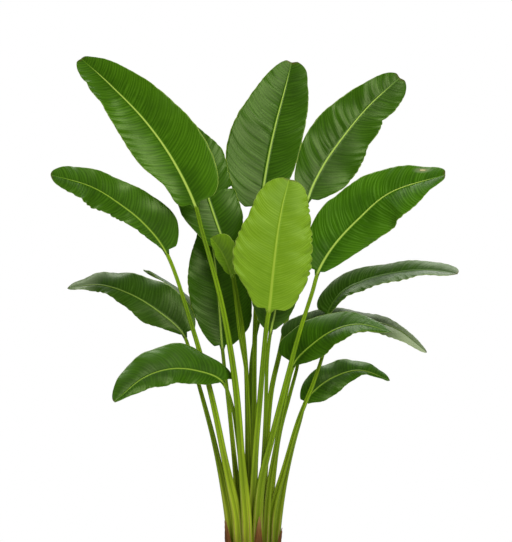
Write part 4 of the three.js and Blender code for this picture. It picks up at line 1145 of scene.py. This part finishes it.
class PLANT_OT_make_pot(bpy.types.Operator):
    """Turns the plain tapered pot with its rim band and drain holes"""
    bl_idname = "plant.make_pot"
    bl_label = "Make the pot"

    def execute(self, context):
        sizes = context.scene.plant_pot
        band_foot = sizes.height - sizes.band_height
        inside = sizes.rim_radius - sizes.band_extra - sizes.wall
        profile = [
            (0.0, 0.0), (sizes.foot_radius - 0.004, 0.0), (sizes.foot_radius - 0.001, 0.001),
            (sizes.foot_radius, 0.004), *((pot_slope(sizes, z), z) for z in (0.06, 0.12, 0.18)),
            (pot_slope(sizes, band_foot - 0.003), band_foot - 0.003),
            (pot_slope(sizes, band_foot) + 0.0008, band_foot),
            (sizes.rim_radius - 0.001, band_foot + 0.0032), (sizes.rim_radius, band_foot + 0.006),
            (sizes.rim_radius, sizes.height - 0.003), (sizes.rim_radius - 0.0008, sizes.height - 0.0008),
            (sizes.rim_radius - 0.003, sizes.height), (inside + 0.003, sizes.height),
            (inside + 0.0008, sizes.height - 0.0008), (inside, sizes.height - 0.003),
            *((pot_slope(sizes, z) - sizes.wall, z) for z in (0.15, 0.02)),
            (pot_slope(sizes, sizes.floor) - sizes.wall - FOOT_CORNER, sizes.floor), (0.0, sizes.floor),
        ]
        bm = bmesh.new()
        verts = [bm.verts.new((r, 0.0, z)) for r, z in profile]
        edges = [bm.edges.new(pair) for pair in zip(verts, verts[1:])]
        bmesh.ops.spin(bm, geom=verts + edges, cent=(0, 0, 0), axis=(0, 0, 1), dvec=(0, 0, 0),
                       angle=2 * math.pi, steps=120, use_merge=True)
        bmesh.ops.remove_doubles(bm, verts=bm.verts, dist=1e-6)
        bmesh.ops.recalc_face_normals(bm, faces=bm.faces)
        drill = bmesh.new()
        for hole in range(DRAIN_HOLES):
            angle = 2 * math.pi * hole / DRAIN_HOLES
            made = bmesh.ops.create_cone(drill, cap_ends=True, segments=24, radius1=sizes.drain_radius,
                                         radius2=sizes.drain_radius, depth=sizes.floor * 3)
            middle = (DRAIN_RING * math.cos(angle), DRAIN_RING * math.sin(angle), sizes.floor / 2)
            bmesh.ops.translate(drill, verts=made["verts"], vec=middle)
        cutter = new_object("drain_drill", new_mesh("drain_drill", drill))
        blank = new_object("pot_blank", new_mesh("pot_blank", bm))
        cut = blank.modifiers.new("drains", "BOOLEAN")
        cut.object = cutter
        cut.operation = "DIFFERENCE"
        cut.solver = "EXACT"
        made = bmesh.new()
        made.from_object(blank, context.evaluated_depsgraph_get())
        for thing in (cutter, blank):
            bpy.data.objects.remove(thing)
        pot = new_piece("turned_pot", made, [pot_material(sizes.colour)], ["pot"])
        if not pot.data.polygons:
            raise RuntimeError("the pot has no faces")
        return {"FINISHED"}


class PLANT_OT_fill_soil(bpy.types.Operator):
    """Fills the pot with soil, with crumbs and bark chips on top"""
    bl_idname = "plant.fill_soil"
    bl_label = "Fill with soil"

    def execute(self, context):
        sizes = context.scene.plant_soil
        pot = context.scene.plant_pot
        edge = pot_slope(pot, SOIL_TOP - SOIL_EDGE_DROP) - pot.wall - GAP
        bm = bmesh.new()
        bmesh.ops.create_circle(bm, cap_ends=True, cap_tris=False, segments=96, radius=edge)
        # Known fault: without use_boundary=True these insets leave the lone face as it is. So the top has
        # no rings and lies flat at its edge's height, and most crumbs and all chips hang clear above it.
        for _ in range(SOIL_RINGS):
            inner = [face for face in bm.faces if len(face.verts) > 4]
            bmesh.ops.inset_region(bm, faces=inner, thickness=edge / (SOIL_RINGS + 1.5), use_even_offset=True)
        rim = [edge_ for edge_ in bm.edges if edge_.is_boundary]
        for vert in bm.verts:
            far = math.hypot(vert.co.x, vert.co.y)
            rough = 0.0016 * noise.noise(vert.co * 60) + 0.0012 * noise.noise(vert.co * 170)
            vert.co.z = soil_level(far, edge) + (rough if far < edge - 0.002 else 0.0)
        wall = bmesh.ops.extrude_edge_only(bm, edges=rim)["geom"]
        bottom = pot.floor + GAP
        low = [part for part in wall if isinstance(part, bmesh.types.BMVert)]
        for vert in low:
            angle = math.atan2(vert.co.y, vert.co.x)
            radius = pot_slope(pot, bottom) - pot.wall - FOOT_CORNER - 0.001
            vert.co = (radius * math.cos(angle), radius * math.sin(angle), bottom)
        bmesh.ops.holes_fill(bm, edges=[edge_ for edge_ in bm.edges if edge_.is_boundary], sides=0)
        bmesh.ops.recalc_face_normals(bm, faces=bm.faces)
        new_piece("soil_body", bm, [soil_material("damp_soil", 0x2a1d14, 0x493526)], ["soil"])
        chance = random.Random(41)
        feet = [(Vector(leaf["stem"][0]), leaf["radius"][0]) for leaf in LEAVES]

        def free_place():
            while True:
                angle, far = chance.uniform(0, 2 * math.pi), (edge - 0.006) * chance.random() ** 0.5
                place = Vector((far * math.cos(angle), far * math.sin(angle), SOIL_TOP))
                if all((place - foot).length > radius + CRUMB_CLEARANCE for foot, radius in feet):
                    place.z = soil_level(far, edge)
                    return place

        crumbs = bmesh.new()
        for _ in range(sizes.crumbs):
            made = bmesh.ops.create_icosphere(crumbs, subdivisions=1, radius=1.0)
            size = sizes.crumb_size * mix(0.3, 1.0, chance.random() ** 2)
            place = free_place()
            for vert in made["verts"]:
                vert.co *= size * chance.uniform(0.75, 1.2)
                vert.co.z *= 0.8
                vert.co += place
        new_piece("soil_crumbs", crumbs, [soil_material("crumb_soil", 0x35251a, 0x5e4530)],
                  [])
        chips = bmesh.new()
        for _ in range(sizes.bark_chips):
            made = bmesh.ops.create_cube(chips, size=2.0)
            half = [chance.uniform(*spread) for spread in CHIP_HALF_SIZES]
            turn, tilt = chance.uniform(0, math.pi), chance.uniform(-0.3, 0.3)
            place = free_place()
            for vert in made["verts"]:
                shaped = Vector([part * size * chance.uniform(0.7, 1.1) for part, size in zip(vert.co, half)])
                shaped.rotate(Euler((tilt, 0.0, turn)))
                vert.co = shaped + place + Vector((0, 0, half[2]))
            edges = list({edge_ for vert in made["verts"] for edge_ in vert.link_edges})
            bmesh.ops.bevel(chips, geom=edges, offset=0.0004, offset_type="OFFSET", affect="EDGES",
                            segments=1, profile=0.5, material=-1)
        new_piece("bark_chips", chips, [bark_material()], [])
        return {"FINISHED"}


class PLANT_OT_grow_stems(bpy.types.Operator):
    """Grows the eighteen channelled leaf stems, which run on as midribs under the blades"""
    bl_idname = "plant.grow_stems"
    bl_label = "Grow the stems"

    def execute(self, context):
        colours = context.scene.plant_leaves
        bright = stem_material("stem_bright", colours.stem_low, colours.stem_high, colours.stem_streak_and_shade)
        for leaf in LEAVES:
            bm = stem_mesh(leaf, MiddleLine(leaf))
            new_piece(leaf["name"] + "_petiole", bm, [bright], [leaf["name"] + "_stem"])
        return {"FINISHED"}


class PLANT_OT_grow_blades(bpy.types.Operator):
    """Grows the eighteen blades with their midribs, folds, waved edges and veins"""
    bl_idname = "plant.grow_blades"
    bl_label = "Grow the blades"

    def execute(self, context):
        faces = {}
        for tone_name, tone in TONES.items():
            faces[tone_name] = [blade_material("blade_" + tone_name, tone, False),
                                blade_material("blade_" + tone_name + "_underside", tone, True)]
        for number, leaf in enumerate(LEAVES):
            looks = LOOKS[leaf["name"]]
            bm = blade_mesh(leaf, looks, MiddleLine(leaf), number * 11.3)
            blade = new_piece(leaf["name"] + "_lamina", bm, faces[looks["tone"]],
                              [leaf["name"] + "_blade"])
            sheet = blade.modifiers.new("thickness", "SOLIDIFY")
            sheet.thickness = BLADE_THICKNESS
            sheet.offset = 0.0
            sheet.material_offset = 1
            sheet.material_offset_rim = 0
            sheet.use_quality_normals = True
        return {"FINISHED"}


class PLANT_OT_wrap_sheaths(bpy.types.Operator):
    """Wraps the three dry papery sheaths round the feet of their stems"""
    bl_idname = "plant.wrap_sheaths"
    bl_label = "Wrap the dry sheaths"

    def execute(self, context):
        colours = context.scene.plant_leaves
        paper = sheath_material(colours.sheath_dark, colours.sheath_light)
        for number, sheath in enumerate(SHEATHS):
            leaf = leaf_named(sheath["leaf"])
            bm = sheath_mesh(sheath, leaf, MiddleLine(leaf), number * 3.7)
            new_piece(sheath["name"] + "_paper", bm, [paper], [sheath["name"]])
        return {"FINISHED"}


def soft_light(name, place, target, size, power, colour=(1.0, 1.0, 1.0)):
    """An area light of a width and height in metres, turned to its target."""
    data = bpy.data.lights.new(name, "AREA")
    data.shape = "RECTANGLE"
    data.size, data.size_y = size
    data.energy = power
    data.color = colour
    light = new_object(name, data)
    light.location = place
    light.rotation_euler = (Vector(target) - Vector(place)).to_track_quat("-Z", "Y").to_euler()
    return light


class PLANT_OT_set_stage(bpy.types.Operator):
    """Sets the pale floor, the white surroundings, the soft lights and the camera"""
    bl_idname = "plant.set_stage"
    bl_label = "Set the stage"

    def execute(self, context):
        sizes = context.scene.plant_stage
        bm = bmesh.new()
        bmesh.ops.create_circle(bm, cap_ends=True, segments=128, radius=sizes.floor_radius)
        mesh = new_mesh("studio_floor", bm)
        mesh.materials.append(floor_material(sizes.floor_colour))
        floor = new_object("studio_floor", mesh)
        world = bpy.data.worlds.new("studio_air")
        context.scene.world = world
        world.use_nodes = True
        world.node_tree.nodes.clear()
        board = Board(world.node_tree)
        seen = board.add("ShaderNodeBackground", {"Color": (1.0, 1.0, 1.0, 1.0), "Strength": 1.0})
        lighting = board.add("ShaderNodeBackground", {"Color": (0.97, 0.985, 1.0, 1.0),
                                                      "Strength": sizes.air_light})
        path = board.add("ShaderNodeLightPath")
        both = board.add("ShaderNodeMixShader", {0: path.outputs["Is Camera Ray"], 1: lighting.outputs[0],
                                                 2: seen.outputs[0]})
        out = board.add("ShaderNodeOutputWorld")
        world.node_tree.links.new(both.outputs[0], out.inputs[0])
        middle = (0.0, 0.0, 0.95)
        soft_light("key_light", (1.45, -3.7, 2.8), middle, (2.2, 1.5), sizes.key_power, (1.0, 0.995, 0.97))
        soft_light("high_light", (0.8, -1.95, 3.65), middle, (1.0, 1.0), sizes.high_power)
        fill = soft_light("fill_light", (-2.8, -3.2, 1.4), middle, (2.0, 2.4), sizes.fill_power)
        fill.visible_glossy = False
        soft_light("top_light", (0.0, 1.5, 3.2), middle, (4.6, 1.2), sizes.top_power)
        soft_light("rear_light", (0.6, 3.4, 2.2), middle, (2.0, 1.6), sizes.fill_power)
        data = bpy.data.cameras.new("photo_camera")
        data.sensor_width = 36.0
        data.lens = data.sensor_width * CAMERA_DISTANCE / FRAME_HEIGHT
        camera = new_object("photo_camera", data)
        camera.location = (0.00825, -CAMERA_DISTANCE, 0.9775)
        camera.rotation_euler = (math.pi / 2, 0.0, 0.0)
        context.scene.camera = camera
        context.scene.view_settings.view_transform = "Standard"
        return {"FINISHED"}


class PLANT_PT_panel(bpy.types.Panel):
    """Lists the steps that build the plant"""
    bl_idname = "PLANT_PT_panel"
    bl_label = "Potted Bird of Paradise"
    bl_space_type = "VIEW_3D"
    bl_region_type = "UI"
    bl_category = "Bird of Paradise"

    def draw(self, context):
        for group in GROUPS:
            box = self.layout.box()
            settings = getattr(context.scene, group)
            for name in settings.__annotations__:
                box.prop(settings, name)
        for step in STEPS:
            self.layout.operator(step.bl_idname)


GROUPS = {"plant_pot": PotSizes, "plant_soil": SoilSizes, "plant_leaves": LeafColours,
          "plant_stage": StageSizes}
STEPS = (PLANT_OT_make_pot, PLANT_OT_fill_soil, PLANT_OT_grow_stems, PLANT_OT_grow_blades,
         PLANT_OT_wrap_sheaths, PLANT_OT_set_stage)


def register():
    for group in GROUPS.values():
        bpy.utils.register_class(group)
    for step in STEPS:
        bpy.utils.register_class(step)
    bpy.utils.register_class(PLANT_PT_panel)
    for name, group in GROUPS.items():
        setattr(bpy.types.Scene, name, bpy.props.PointerProperty(type=group))


def unregister():
    for name in GROUPS:
        delattr(bpy.types.Scene, name)
    bpy.utils.unregister_class(PLANT_PT_panel)
    for step in reversed(STEPS):
        bpy.utils.unregister_class(step)
    for group in reversed(list(GROUPS.values())):
        bpy.utils.unregister_class(group)


def main():
    register()
    for step in ("make_pot", "fill_soil", "grow_stems", "grow_blades", "wrap_sheaths", "set_stage"):
        getattr(bpy.ops.plant, step)()


if __name__ == "__main__":
    main()
